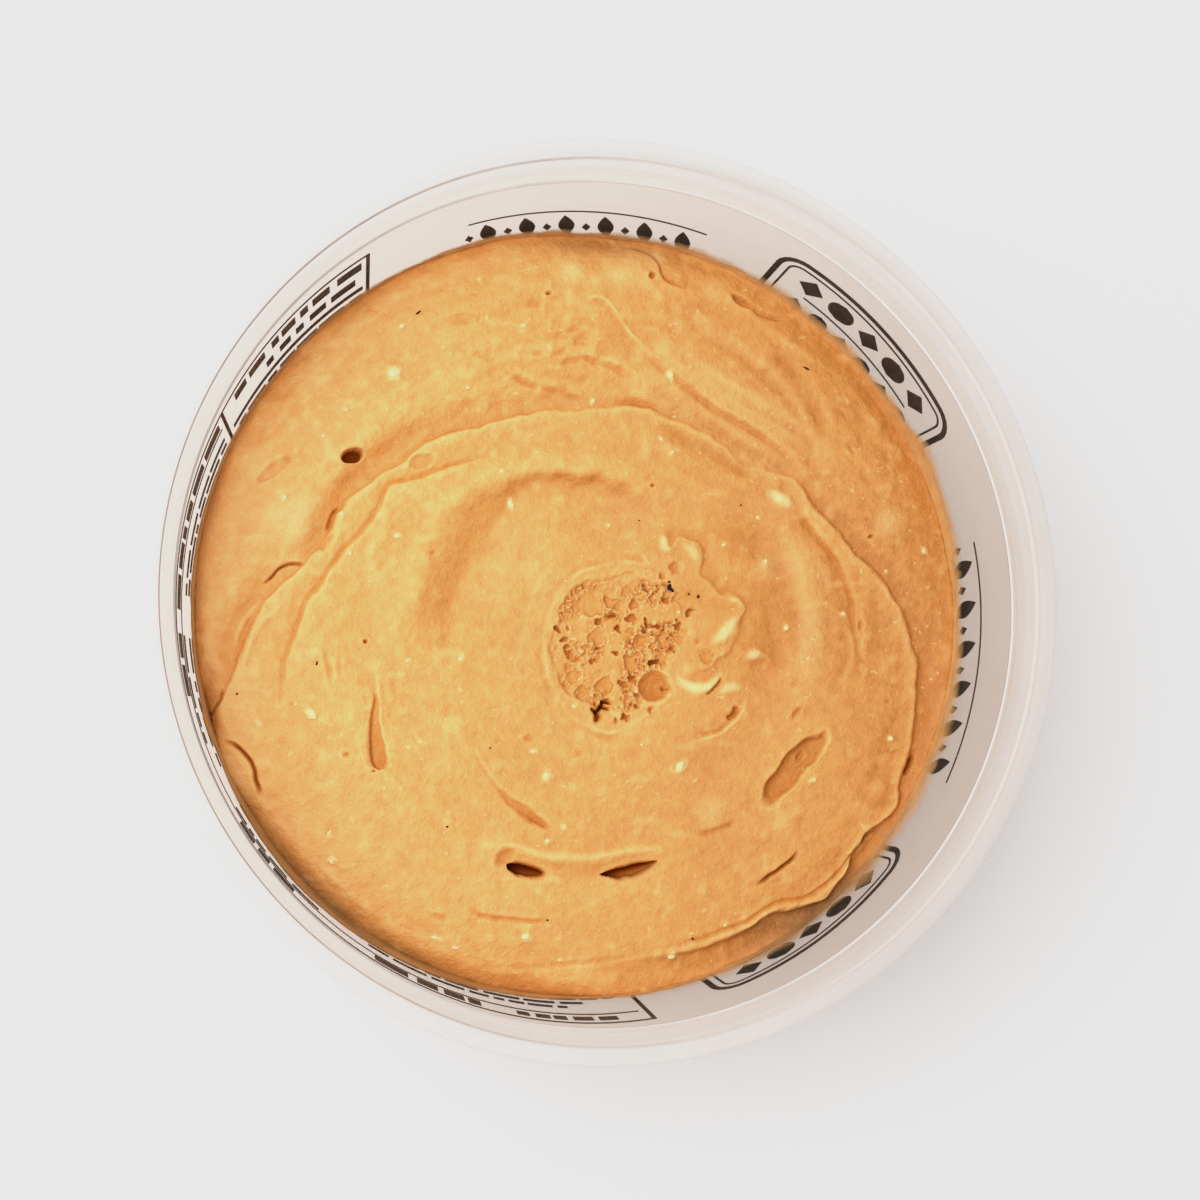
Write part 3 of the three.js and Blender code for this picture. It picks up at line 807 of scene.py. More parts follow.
    # torn pits of no set shape, in clusters
    cluster = smooth(-0.45, 0.35, noise(x, y, 2.6, 69))
    for size, level, depth, seed in ((0.90, 0.25, 0.50, 70), (0.48, 0.19, 0.44, 75), (0.28, 0.15, 0.32, 78)):
        f = fbm(fx, fy, size, 3, seed)
        pit = np.minimum(pit, -depth * cluster * smooth(level, level + 0.13, f))
        rim = np.maximum(rim, gauss(f - level + 0.05, 0.05) * cluster)
    for px0, py0, rad, size in PORES:
        i = np.nonzero((np.abs(x - px0) < rad * 1.7 + 0.5) & (np.abs(y - py0) < rad * 1.7 + 0.5))[0]
        q = np.hypot(fx[i] - px0, fy[i] - py0) / rad
        pit[i] = np.minimum(pit[i], -size * np.sqrt(np.clip(1 - q**2.6, 0, 1)))
        rim[i] = np.maximum(rim[i], gauss(q - 1.18, 0.24))
    h += (pit + 0.07 * rim * (pit > -0.04)) * foam
    # darkest against the upper left side of each pit, where the light is cut off
    dark = smooth(0.10, 0.60, -pit) * (0.22 + 0.78 * smooth(0.0, 0.45, noise(fx, fy, 0.85, 69)))
    deep = np.maximum(deep, foam * dark * 0.98)
    # painted highlight on the pits' rims
    pale = np.maximum(pale, foam * 0.66 * rim * (pit > -0.04) * (0.5 + 0.9 * smooth(-0.3, 0.4, noise(fx, fy, 0.7, 79))))
    # painted shade inside the big pores, darkest on their lee side, and a painted highlight on their rims
    for px, py, rad, size in BIG_PORES:
        cx0, cy0 = at(px, py)
        rr = rad / PX
        i = np.nonzero((np.abs(x - cx0) < rr * 2.2) & (np.abs(y - cy0) < rr * 2.2))[0]
        wob = 0.3 if rad > 15 else 2.4 if rad > 12 else 1.5
        q = np.hypot(x[i] - cx0 + wob * (fx[i] - x[i]), y[i] - cy0 + wob * (fy[i] - y[i])) / rr
        bowl = -size * np.sqrt(np.clip(1 - q**2.2, 0, 1))
        level = float(np.median(h[i])) if len(i) else 0.0
        calmed = level + (0.15 if rad > 6 else 0.4) * (h[i] - level)
        h[i] = np.where(q < 1, calmed + bowl, h[i]) + 0.08 * gauss(q - 1.12, 0.14)
        inside = 1 - smooth(0.80, 1.0, q)
        deep[i] = deep[i] * (1 - 0.85 * inside)
        darken(i, ((0.42 if rad > 15 else 0.08) + 0.50 * (rad < 5)) * inside)
        pale[i] = np.maximum(pale[i] * (1 - inside), 0.34 * gauss(q - 1.10, 0.10))
        if 6 <= rad <= 15:
            lee = smooth(-0.2, 0.6, (x[i] - cx0 - (y[i] - cy0)) / rr / 1.4)
            darken(i, 0.62 * gauss(q - 0.93, 0.09) * lee)
    # the crack at the patch's lower left, with painted shade in it
    for pts, half in (
        (((592, 709), (597, 713), (600, 719)), 0.30), (((597, 713), (602, 708), (604, 701)), 0.36),
        (((602, 708), (608, 710)), 0.24), (((604, 702), (611, 703)), 0.26), (((600, 719), (596, 721)), 0.22),
    ):
        i, d, t = Path(pts).near(0.5 * (x + fx), 0.5 * (y + fy), 1.5)
        half = 0.72 * half
        h[i] -= 1.5 * gauss(d, half)
        darken(i, 1.0 * np.exp(-((np.abs(d) / (half * 1.15)) ** 4)))
        pale[i] *= 1 - gauss(d, 0.4)

    for px, py, rad, tone in ((687, 594, 6.0, 0.5), (683, 589, 3.5, 0.45), (676, 588, 3.5, 0.35)):
        cx0, cy0 = at(px, py)
        q = np.hypot(fx - cx0, fy - cy0) / (rad / PX)
        deep = np.maximum(deep, tone * np.exp(-(q**2)))
    # soft folds beside the patch, painted paler on top
    for path, half, size, white in FOLDS:
        i, d, t = path.near(wx, wy, 3.0)
        w = half / PX * (0.65 + 0.45 * np.sin(np.pi * np.clip(t, 0, 1)))
        e = np.sqrt(np.clip(np.sin(np.pi * np.clip(t * 0.96 + 0.02, 0, 1)), 0, 1))
        mound = np.exp(-((np.abs(d) / w) ** 3.0))
        h[i] += size * e * mound
        deep[i] = deep[i] * (1 - 0.9 * mound * e)
        pale[i] = np.maximum(pale[i], white * e * np.exp(-((np.abs(d) / (w * 0.9)) ** 2.6)))
    # curd bits stand a little proud and are pale
    for px, py, a, b, turn in CURDS:
        cx0, cy0 = at(px, py)
        reach = 1.8 * max(a, b) / PX
        i = np.nonzero((np.abs(x - cx0) < reach) & (np.abs(y - cy0) < reach))[0]
        u, v = oval_coords(fx[i], fy[i], px, py, a, b, turn)
        rho = np.sqrt(u * u + v * v)
        h[i] += min(0.42, 0.085 * min(a, b)) * np.exp(-(rho**3.4))
        pale[i] = np.maximum(pale[i], (0.85 if min(a, b) > 3.5 else 0.62) * np.exp(-((rho / 0.98) ** 3.0)))
        deep[i] *= 1 - np.exp(-(rho**4))
    return h, np.clip(deep, 0, 1), np.clip(pale, 0, 1), np.maximum(foam, 0.8 * shelf)


def shade_map():
    """A coarse grid over the top that paints light and shade by the spread's form:
    rises are painted paler, hollows deeper in colour."""
    n, half = 560, 56.0
    g = (np.arange(n) + 0.5) / n * 2 * half - half
    gx, gy = np.meshgrid(g, g, indexing="ij")
    h = relief(gx.ravel(), gy.ravel())[0].reshape(n, n)
    pitch = 2 * half / n
    f = np.hypot(*np.meshgrid(np.fft.fftfreq(n, pitch), np.fft.fftfreq(n, pitch), indexing="ij"))
    wave = np.fft.fft2(h)

    def soft(size):
        return np.real(np.fft.ifft2(wave * np.exp(-2 * (math.pi * f * size) ** 2)))

    a, b, c, d = soft(0.12), soft(0.45), soft(1.4), soft(4.2)
    form = 0.17 * np.tanh((a - b) / 0.09) + 0.12 * np.tanh((b - c) / 0.18) + 0.10 * np.tanh((c - d) / 0.36)
    return half, pitch, form


def look_up(grid, x, y):
    half, pitch, form = grid
    n = len(form)
    u = np.clip((x + half) / pitch - 0.5, 0, n - 1.001)
    v = np.clip((y + half) / pitch - 0.5, 0, n - 1.001)
    i, j = u.astype(int), v.astype(int)
    fu, fv = u - i, v - j
    return (form[i, j] * (1 - fu) + form[i + 1, j] * fu) * (1 - fv) + (form[i, j + 1] * (1 - fu) + form[i + 1, j + 1] * fu) * fv


# where a finer mesh is wanted: 0, 1 (half cells) or 2 (quarter cells)
def fineness(x, y):
    want = np.zeros(len(x), int)
    for path, reach in (
        (LIP, 1.1), (CREASE_LEFT, 0.8), (CREASE_RIGHT, 0.8), (FOLD, 1.1), (LEFT_CREVICE, 1.2),
        (LEFT_NOTCH, 0.9), (NICK_1, 1.0), (NICK_2, 0.9), (DIAG, 1.0), (LOW_GROOVE, 0.9),
        (GROOVE_3, 0.8), (SLIT, 0.8), (RIGHT_SLIT, 1.0), (TOP_FOLD, 1.1), (TOP_GROOVE, 0.9),
        (STREAK, 0.8), (CRESCENT, 1.0), (BROW, 1.0), (CAVE_RIDGE, 1.2), (PATCH_EDGE, 1.2),
        (LIP_TWIN, 0.8), (SHELF, 1.0), *[(p, 0.7) for p in FALLS[:1] + STRIPES + RIPPLES[:3]], *[(f[0], 1.2) for f in FOLDS],
    ):
        i, d, t = path.near(x, y, reach)
        want[i] = np.maximum(want[i], 1)
    for path in (FOLD, SLIT, RIGHT_SLIT, BROW, LEFT_CREVICE, NICK_1):
        i, d, t = path.near(x, y, 0.6)
        want[i] = 2
    for px, py, a, b, turn, size, hard, tone in OVALS:
        u, v = oval_coords(x, y, px, py, a + 2.5, b + 2.5, turn)
        rho = np.hypot(u, v)
        want[rho < 1.15] = np.maximum(want[rho < 1.15], 1)
        if size > 1 or tone > 0.5:
            want[rho < 1.1] = 2
    u, v = oval_coords(x, y, 793.0, 769.0, 46, 18, 50)
    want[(np.hypot(u, v) < 1.1) & (want < 1)] = 1
    for (ax, ay), (bx, by), up, down, size, blunt in CAVES:
        path = Path([(ax, ay), ((ax + bx) / 2, (ay + by) / 2), (bx, by)])
        want[path.near(x, y, 2.0)[0]] = 2
    want[(np.abs(np.hypot(u, v) - 0.86) < 0.16)] = 2
    cx0, cy0 = at(381, 728)
    want[(np.abs(x - cx0) < 2.2) & (np.abs(y - cy0) < 6.2)] = 2
    for px, py, a, b, turn in CURDS:
        u, v = oval_coords(x, y, px, py, a + 3, b + 3, turn)
        rho = np.hypot(u, v)
        want[rho < 1.0] = np.maximum(want[rho < 1.0], 2 if max(a, b) > 6 else 1)
    want[inside_patch(x, y) > 0.02] = 2
    return want


# ------------------------------------------------------------------ meshes


def link(name, verts, faces, material, smooth_faces=True):
    mesh = bpy.data.meshes.new(name)
    mesh.from_pydata([tuple(v) for v in np.asarray(verts) * MM], [], faces)
    mesh.update()
    if smooth_faces:
        mesh.polygons.foreach_set("use_smooth", [True] * len(mesh.polygons))
    ob = bpy.data.objects.new(name, mesh)
    bpy.context.collection.objects.link(ob)
    for m in material if isinstance(material, (list, tuple)) else [material]:
        mesh.materials.append(m)
    return ob


EDGE_R = 52.05


def edge_level(angle):
    """Height of the spread where it meets the wall."""
    return -0.4 + 0.9 * gauss(np.abs(angle) - math.pi, 0.8) + 0.35 * np.cos(angle) - 0.35 * np.abs(np.sin(angle))


def make_spread(material):
    count = 194                                  # base cells across
    q = 4                                        # finest steps in a base cell
    centre = (np.arange(count) + 0.5) / count * 2 - 1
    gu, gv = np.meshgrid(centre, centre, indexing="ij")

    def disc(u, v):
        return EDGE_R * u * np.sqrt(1 - v * v / 2), EDGE_R * v * np.sqrt(1 - u * u / 2)

    cx, cy = disc(gu, gv)
    want = fineness(cx.ravel(), cy.ravel()).reshape(count, count)
    want[:1, :] = want[-1:, :] = 0
    want[:, :1] = want[:, -1:] = 0
    for _ in range(2):                           # neighbours differ by one step at most
        grown = want.copy()
        for sx in (-1, 0, 1):
            for sy in (-1, 0, 1):
                grown = np.maximum(grown, np.roll(np.roll(want, sx, 0), sy, 1) - 1)
        want = np.maximum(want, grown)
    want[0, :] = want[-1, :] = 0
    want[:, 0] = want[:, -1] = 0
    for row in (want[1], want[-2], want[:, 1], want[:, -2]):
        row[:] = np.minimum(row, 1)

    ids = {}
    cells = []
    for i in range(count):
        for j in range(count):
            s = q >> int(want[i, j])
            for a in range(0, q, s):
                for b in range(0, q, s):
                    x0, y0 = i * q + a, j * q + b
                    cells.append((x0, y0, s))
                    for key in ((x0, y0), (x0 + s, y0), (x0 + s, y0 + s), (x0, y0 + s)):
                        if key not in ids:
                            ids[key] = len(ids)
    faces = []
    for x0, y0, s in cells:
        x1, y1, m = x0 + s, y0 + s, s // 2
        loop = [ids[(x0, y0)]]
        if s > 1:
            for mid, end in (
                ((x0 + m, y0), (x1, y0)), ((x1, y0 + m), (x1, y1)),
                ((x0 + m, y1), (x0, y1)), ((x0, y0 + m), None),
            ):
                if mid in ids:
                    loop.append(ids[mid])
                if end is not None:
                    loop.append(ids[end])
        else:
            loop += [ids[(x1, y0)], ids[(x1, y1)], ids[(x0, y1)]]
        faces.append(loop)
    keys = np.array(list(ids.keys()), float)
    total = count * q
    u, v = keys[:, 0] / total * 2 - 1, keys[:, 1] / total * 2 - 1
    x, y = disc(u, v)
    h, deep, pale, foam = relief(x, y)
    # painted light and shade: paler towards the left, where the light is, and on the rises
    lean = -0.36 * x / 50 + 0.02 * y / 50 - 0.02 * x * y / 2500 - 0.06 * (x / 50) ** 2
    shade = 0.5 + look_up(shade_map(), x, y) + lean + 0.06 * fbm(x, y, 9.0, 3, 81) + 0.03 * fbm(x, y, 2.2, 3, 85)
    r = np.hypot(x, y)
    ang = np.arctan2(y, x)
    # the places in shadow: under the lip at the lower right, along the wall at
    # the top and at the lower left
    patchy = 1 + 0.35 * fbm(x, y, 2.4, 2, 105)
    dim = 0.26 * bearing(ang, 86, 16) * gauss(r - 50.2, 1.7) * patchy + 0.34 * bearing(ang, -127, 24) * smooth(49.4, 52.0, r) ** 2 * patchy
    i, d, t = LIP.near(x, y, 9.0)
    dim[i] += 0.50 * smooth(0.70, 0.74, t) * smooth(-0.1, 0.6, d) * bearing(ang[i], -53, 9.5) * patchy[i]
    at_edge = smooth(44, EDGE_R, r)
    h = h + at_edge * edge_level(ang)
    # the edge lies just inside the tub's wall
    want_r = inner_radius(LEVEL + h) + 0.08
    k = 1 + (want_r / EDGE_R - 1) * smooth(46, EDGE_R, r)
    x, y = x * k, y * k
    top = np.stack([x, y, LEVEL + h], -1)

    # sides and floor: rings that follow the tub's inside, 0.08 mm into it
    ring = [(0, j) for j in range(total)]
    border = [kk for kk in ids if kk[0] in (0, total) or kk[1] in (0, total)]
    border = sorted(border, key=lambda kk: math.atan2(*disc_xy(kk, total)[::-1]))
    loop = [ids[kk] for kk in border]
    verts = [top]
    angles = np.array([math.atan2(top[i, 1], top[i, 0]) for i in loop])
    n = len(loop)
    edge_z = top[loop, 2]
    base = len(top)
    rings = [loop]
    profile = [
        (None, 0.5), (inner_radius(22) + 0.08, 22), (inner_radius(8) + 0.08, 8), (inner_radius(4.2) + 0.08, 4.2),
        (47.0, 2.2), (45.95, 1.1), (44.6, 0.77), (43.1, 0.77), (42.3, 1.92), (20, 1.92),
    ]
    for rr, z in profile:
        if rr is None:
            zz = edge_z * 0.75 + 22 * 0.25
            rad = inner_radius(zz) + 0.08
        else:
            zz, rad = np.full(n, float(z)), np.full(n, float(rr))
        verts.append(np.stack([rad * np.cos(angles), rad * np.sin(angles), zz], -1))
        rings.append([base + k for k in range(n)])
        base += n
    verts.append(np.array([[0.0, 0.0, 1.92]]))
    for a, b in zip(rings, rings[1:]):
        for k in range(n):
            k2 = (k + 1) % n
            faces.append([a[k], b[k], b[k2], a[k2]])
    last = rings[-1]
    for k in range(n):
        faces.append([last[k], base, last[(k + 1) % n]])
    verts = np.vstack(verts)
    ob = link("cheese_spread", verts, faces, material)
    full = np.zeros((len(verts), 4))
    full[:, 3] = 1
    full[: len(top), 0], full[: len(top), 1], full[: len(top), 2] = deep, pale, foam
    full[: len(top), 3] = 1 - np.clip(dim, 0, 0.7)
    attr = ob.data.attributes.new("tone", "FLOAT_COLOR", "POINT")
    attr.data.foreach_set("color", full.ravel())
    tone = np.full(len(verts), 0.5)
    tone[: len(top)] = np.clip(shade, 0, 1)
    attr = ob.data.attributes.new("shade", "FLOAT", "POINT")
    attr.data.foreach_set("value", tone)
    return ob, top, angles, edge_z


def disc_xy(key, total):
    u, v = key[0] / total * 2 - 1, key[1] / total * 2 - 1
    return EDGE_R * u * math.sqrt(1 - v * v / 2), EDGE_R * v * math.sqrt(1 - u * u / 2)


def lathe(name, profile, sides, material, closed=False, slots=None):
    """Turns [(r, z), ...] about the axis. The profile starts and ends on the
    axis, or closes on itself. slots gives the material slot of each stretch."""
    verts, rows = [], []
    for r, z in profile:
        if r == 0:
            rows.append([len(verts)] * sides)
            verts.append((0.0, 0.0, z))
        else:
            rows.append(list(range(len(verts), len(verts) + sides)))
            for k in range(sides):
                a = 2 * math.pi * k / sides
                verts.append((r * math.cos(a), r * math.sin(a), z))
    faces, index = [], []
    pairs = list(zip(rows, rows[1:]))
    if closed:
        pairs.append((rows[-1], rows[0]))
    for s, (a, b) in enumerate(pairs):
        for k in range(sides):
            k2 = (k + 1) % sides
            f = [a[k], a[k2], b[k2], b[k]]
            f = [v for n, v in enumerate(f) if v not in f[:n]]
            faces.append(f)
            index.append(slots[s] if slots else 0)
    ob = link(name, verts, faces, material)
    ob.data.polygons.foreach_set("material_index", index)
    return ob


def rounded(points, steps=5):
    """A profile with rounded corners from (r, z, corner radius) and a label
    that is carried along each stretch."""
    out, labels = [], []
    n = len(points)
    for i, (r, z, c, label) in enumerate(points):
        p = np.array([r, z], float)
        if c == 0 or i in (0, n - 1):
            out.append((r, z))
            labels.append(label)
            continue
        a = np.array(points[i - 1][:2], float) - p
        b = np.array(points[i + 1][:2], float) - p
        la, lb = np.linalg.norm(a), np.linalg.norm(b)
        a, b = a / la, b / lb
        half = math.acos(np.clip(a @ b, -1, 1)) / 2
        cut = min(c / math.tan(half), 0.48 * la, 0.48 * lb)
        for k in range(steps + 1):
            t = k / steps
            q = (1 - t) ** 2 * (p + a * cut) + 2 * t * (1 - t) * p + t * t * (p + b * cut)
            out.append((float(q[0]), float(q[1])))
            labels.append(label if k == steps else points[i - 1][3])
    return out, labels


def make_tub(materials):
    r_in = inner_radius
    # the third slot paints shade lines where the plastic turns
    frost, clear, shade_line = 0, 1, 2
    points = [
        (0, 1.2, 0, frost), (41.6, 1.2, 0.3, frost), (42.8, 0, 0.3, frost), (44.9, 0, 1.0, frost),
        (46.75, 0.6, 1.6, frost), (47.8, 1.8, 1.6, frost), (r_in(3.6) + WALL, 3.6, 1.0, frost),
        (r_in(20) + WALL, 20, 0, frost), (r_in(39) + WALL, 39, 0, frost),
        (r_in(LEDGE_Z - WALL) + WALL, LEDGE_Z - WALL, 0.35, frost),
        (LEDGE_OUT + 0.85, LEDGE_Z - WALL, 0.3, frost), (57.05, 60.05, 0.3, frost),
        (57.6, 60.05, 0.25, frost), (57.6, 56.2, 0.25, frost), (58.5, 56.2, 0.3, frost),
        (58.5, 61.0, 0.8, frost), (56.3, 61.0, 0.45, frost), (56.12, 60.2, 0, shade_line), (55.95, 59.5, 0, frost),
        (LEDGE_OUT, LEDGE_Z, 0.18, frost), (54.40, LEDGE_Z, 0, shade_line), (LEDGE_IN, LEDGE_Z, 0.18, clear),
        (r_in(39), 39, 0, clear), (r_in(20), 20, 0, clear), (r_in(4.2), 4.2, 1.0, clear),
        (46.9, 2.2, 1.4, clear), (45.9, 1.1, 1.0, clear), (44.6, 0.85, 0.5, clear),
        (43.1, 0.85, 0.3, clear), (42.3, 2.0, 0.3, clear), (0, 2.0, 0, clear),
    ]
    profile, labels = rounded(points)
    return lathe("tub_body", profile, 288, materials, slots=labels)


def make_smear(material, edge_angles, edge_z):
    """The film of spread on the wall: thick next to the edge, fading above."""
    sides, rows = 420, 32
    verts, where = [], []
    low, high = 34.8, 48.8
    for off in (-0.07, 0.05):
        for i in range(rows + 1):
            z = low + (high - low) * i / rows
            for k in range(sides):
                a = 2 * math.pi * k / sides
                r = inner_radius(z) + off
                verts.append((r * math.cos(a), r * math.sin(a), z))
                where.append((a if a <= math.pi else a - 2 * math.pi, z))
    faces = []
    n = (rows + 1) * sides
    for i in range(rows):
        for k in range(sides):
            k2 = (k + 1) % sides
            a, b, c, d = i * sides + k, i * sides + k2, (i + 1) * sides + k2, (i + 1) * sides + k
            faces.append([a, d, c, b])
            faces.append([a + n, b + n, c + n, d + n])
    for k in range(sides):
        k2 = (k + 1) % sides
        faces.append([k, k2, n + k2, n + k])
        t = rows * sides
        faces.append([t + k2, t + k, n + t + k, n + t + k2])
    ob = link("smear", verts, faces, material)
    a, z = np.array(where).T
    order = np.argsort(edge_angles)
    edge = np.interp(a, edge_angles[order], edge_z[order], period=2 * math.pi)
    s = a * 52.0
    wave = 0.35 * noise(s, s * 0 + 1.5, 9, 71) + 0.30 * noise(s, s * 0 + 2.5, 3.2, 72) + 0.16 * noise(s, z, 1.2, 73)
    full_to = 37.8 + 1.0 * smooth(-0.2, 0.9, np.cos(a)) + 0.4 * bearing(a, -45, 30) + 7.6 * bearing(a, -135, 27) + 2.6 * bearing(a, 176, 22) + 2.2 * bearing(a, 21, 15)
    full_to = np.maximum(full_to, edge + 0.25) + wave + 3.0 * bearing(a, -162.5, 2.6)
    fade = 1.6 + 0.9 * smooth(0, 1, np.cos(a)) + 2.6 * bearing(a, -42, 26) + 0.5 * bearing(a, 60, 25)
    fade = fade * (1 + 0.35 * noise(s, s * 0 + 4.5, 4.5, 74))
    up = np.clip((z - full_to) / fade, 0, 1)
    value = np.where(z < full_to, 1.0, 0.80 * (1 - up) ** 1.3)
    value = np.where((z >= full_to) & (z < full_to + 0.4), 1.0 - 0.20 * (z - full_to) / 0.4, value)
    patch = 1 + 0.5 * noise(a * 12, z * 0.35, 1.0, 106)
    # painted shadow on the film at the lower right and the lower left
    shadow = 0.42 * bearing(a, -53, 12) + 0.40 * bearing(a, -130, 24) * np.clip(patch, 0.3, 1.6)
    shadow[len(shadow) // 2 :] = 0.0              # the side that faces the wall isn't in shadow
    full = np.stack([value, up, value, 1 - shadow], -1)
    attr = ob.data.attributes.new("film", "FLOAT_COLOR", "POINT")
    attr.data.foreach_set("color", full.ravel())
    return ob


# ------------------------------------------------------------------ print


class Ink:
    """Thin shapes on the outside of the wall, given in degrees and mm."""

    def __init__(self):
        self.verts, self.faces = [], []

    def quad(self, corners, along=1):
        """corners: four (degrees, z), in order round the shape; the first and
        last edges are cut into steps."""
        a, b, c, d = [np.array(p, float) for p in corners]
        steps = max(along, int(math.ceil(max(abs(b[0] - a[0]), abs(c[0] - d[0])) / 1.5)), 1)
        base = len(self.verts)
        for k in range(steps + 1):
            t = k / steps
            for p in (a + (b - a) * t, d + (c - d) * t):
                for off in (WALL - 0.05, WALL + 0.05):
                    r = inner_radius(p[1]) + off
                    th = math.radians(p[0])
                    self.verts.append((r * math.cos(th), r * math.sin(th), p[1]))
        for k in range(steps):
            i = base + 4 * k
            lo0, lo1, hi0, hi1 = i, i + 1, i + 2, i + 3
            l2, l3, h2, h3 = i + 4, i + 5, i + 6, i + 7
            self.faces += [[lo1, l3, h3, hi1], [lo0, hi0, h2, l2], [lo0, l2, l3, lo1], [hi0, hi1, h3, h2]]
        e = base + 4 * steps
        self.faces += [[base, base + 1, base + 3, base + 2], [e, e + 2, e + 3, e + 1]]

    def bar(self, th0, th1, z0, z1):
        self.quad(((th0, z0), (th1, z0), (th1, z1), (th0, z1)))

    def stroke(self, points, width):
        """A line of this width in mm through (degrees, z) points."""
        k = math.radians(1) * 54.0
        for p, q in zip(points, points[1:]):
            e = np.array([(q[0] - p[0]) * k, q[1] - p[1]])
            l = np.linalg.norm(e)
            if l < 1e-6:
                continue
            e = e / l
            nx, nz = -e[1] * width / 2 / k, e[0] * width / 2
            ex, ez = e[0] * width * 0.3 / k, e[1] * width * 0.3
            self.quad((
                (p[0] + nx - ex, p[1] + nz - ez), (q[0] + nx + ex, q[1] + nz + ez),
                (q[0] - nx + ex, q[1] - nz + ez), (p[0] - nx - ex, p[1] - nz - ez),
            ), 1)


    def leaf(self, p, q, width, swell=1.0, slices=8):
        """A solid shape along the line from p to q: swell 0 gives a diamond,
        0.5 a disc and 1 a leaf with pointed ends."""
        k = math.radians(1) * 54.0
        e = np.array([(q[0] - p[0]) * k, q[1] - p[1]])
        e = e / np.linalg.norm(e)
        rows = []
        for i in range(slices + 1):
            t = i / slices
            u = abs(2 * t - 1)
            if swell == 0:
                w = 1 - u
            elif swell <= 0.5:
                w = math.sqrt(max(0.0, 1 - u * u))
            else:
                w = 1 - u**1.7
            w = max(0.02, width / 2 * w)
            c = (p[0] + (q[0] - p[0]) * t, p[1] + (q[1] - p[1]) * t)
            rows.append(((c[0] - e[1] * w / k, c[1] + e[0] * w), (c[0] + e[1] * w / k, c[1] - e[0] * w)))
        for (a, b), (c, d) in zip(rows, rows[1:]):
            self.quad((a, b, d, c))


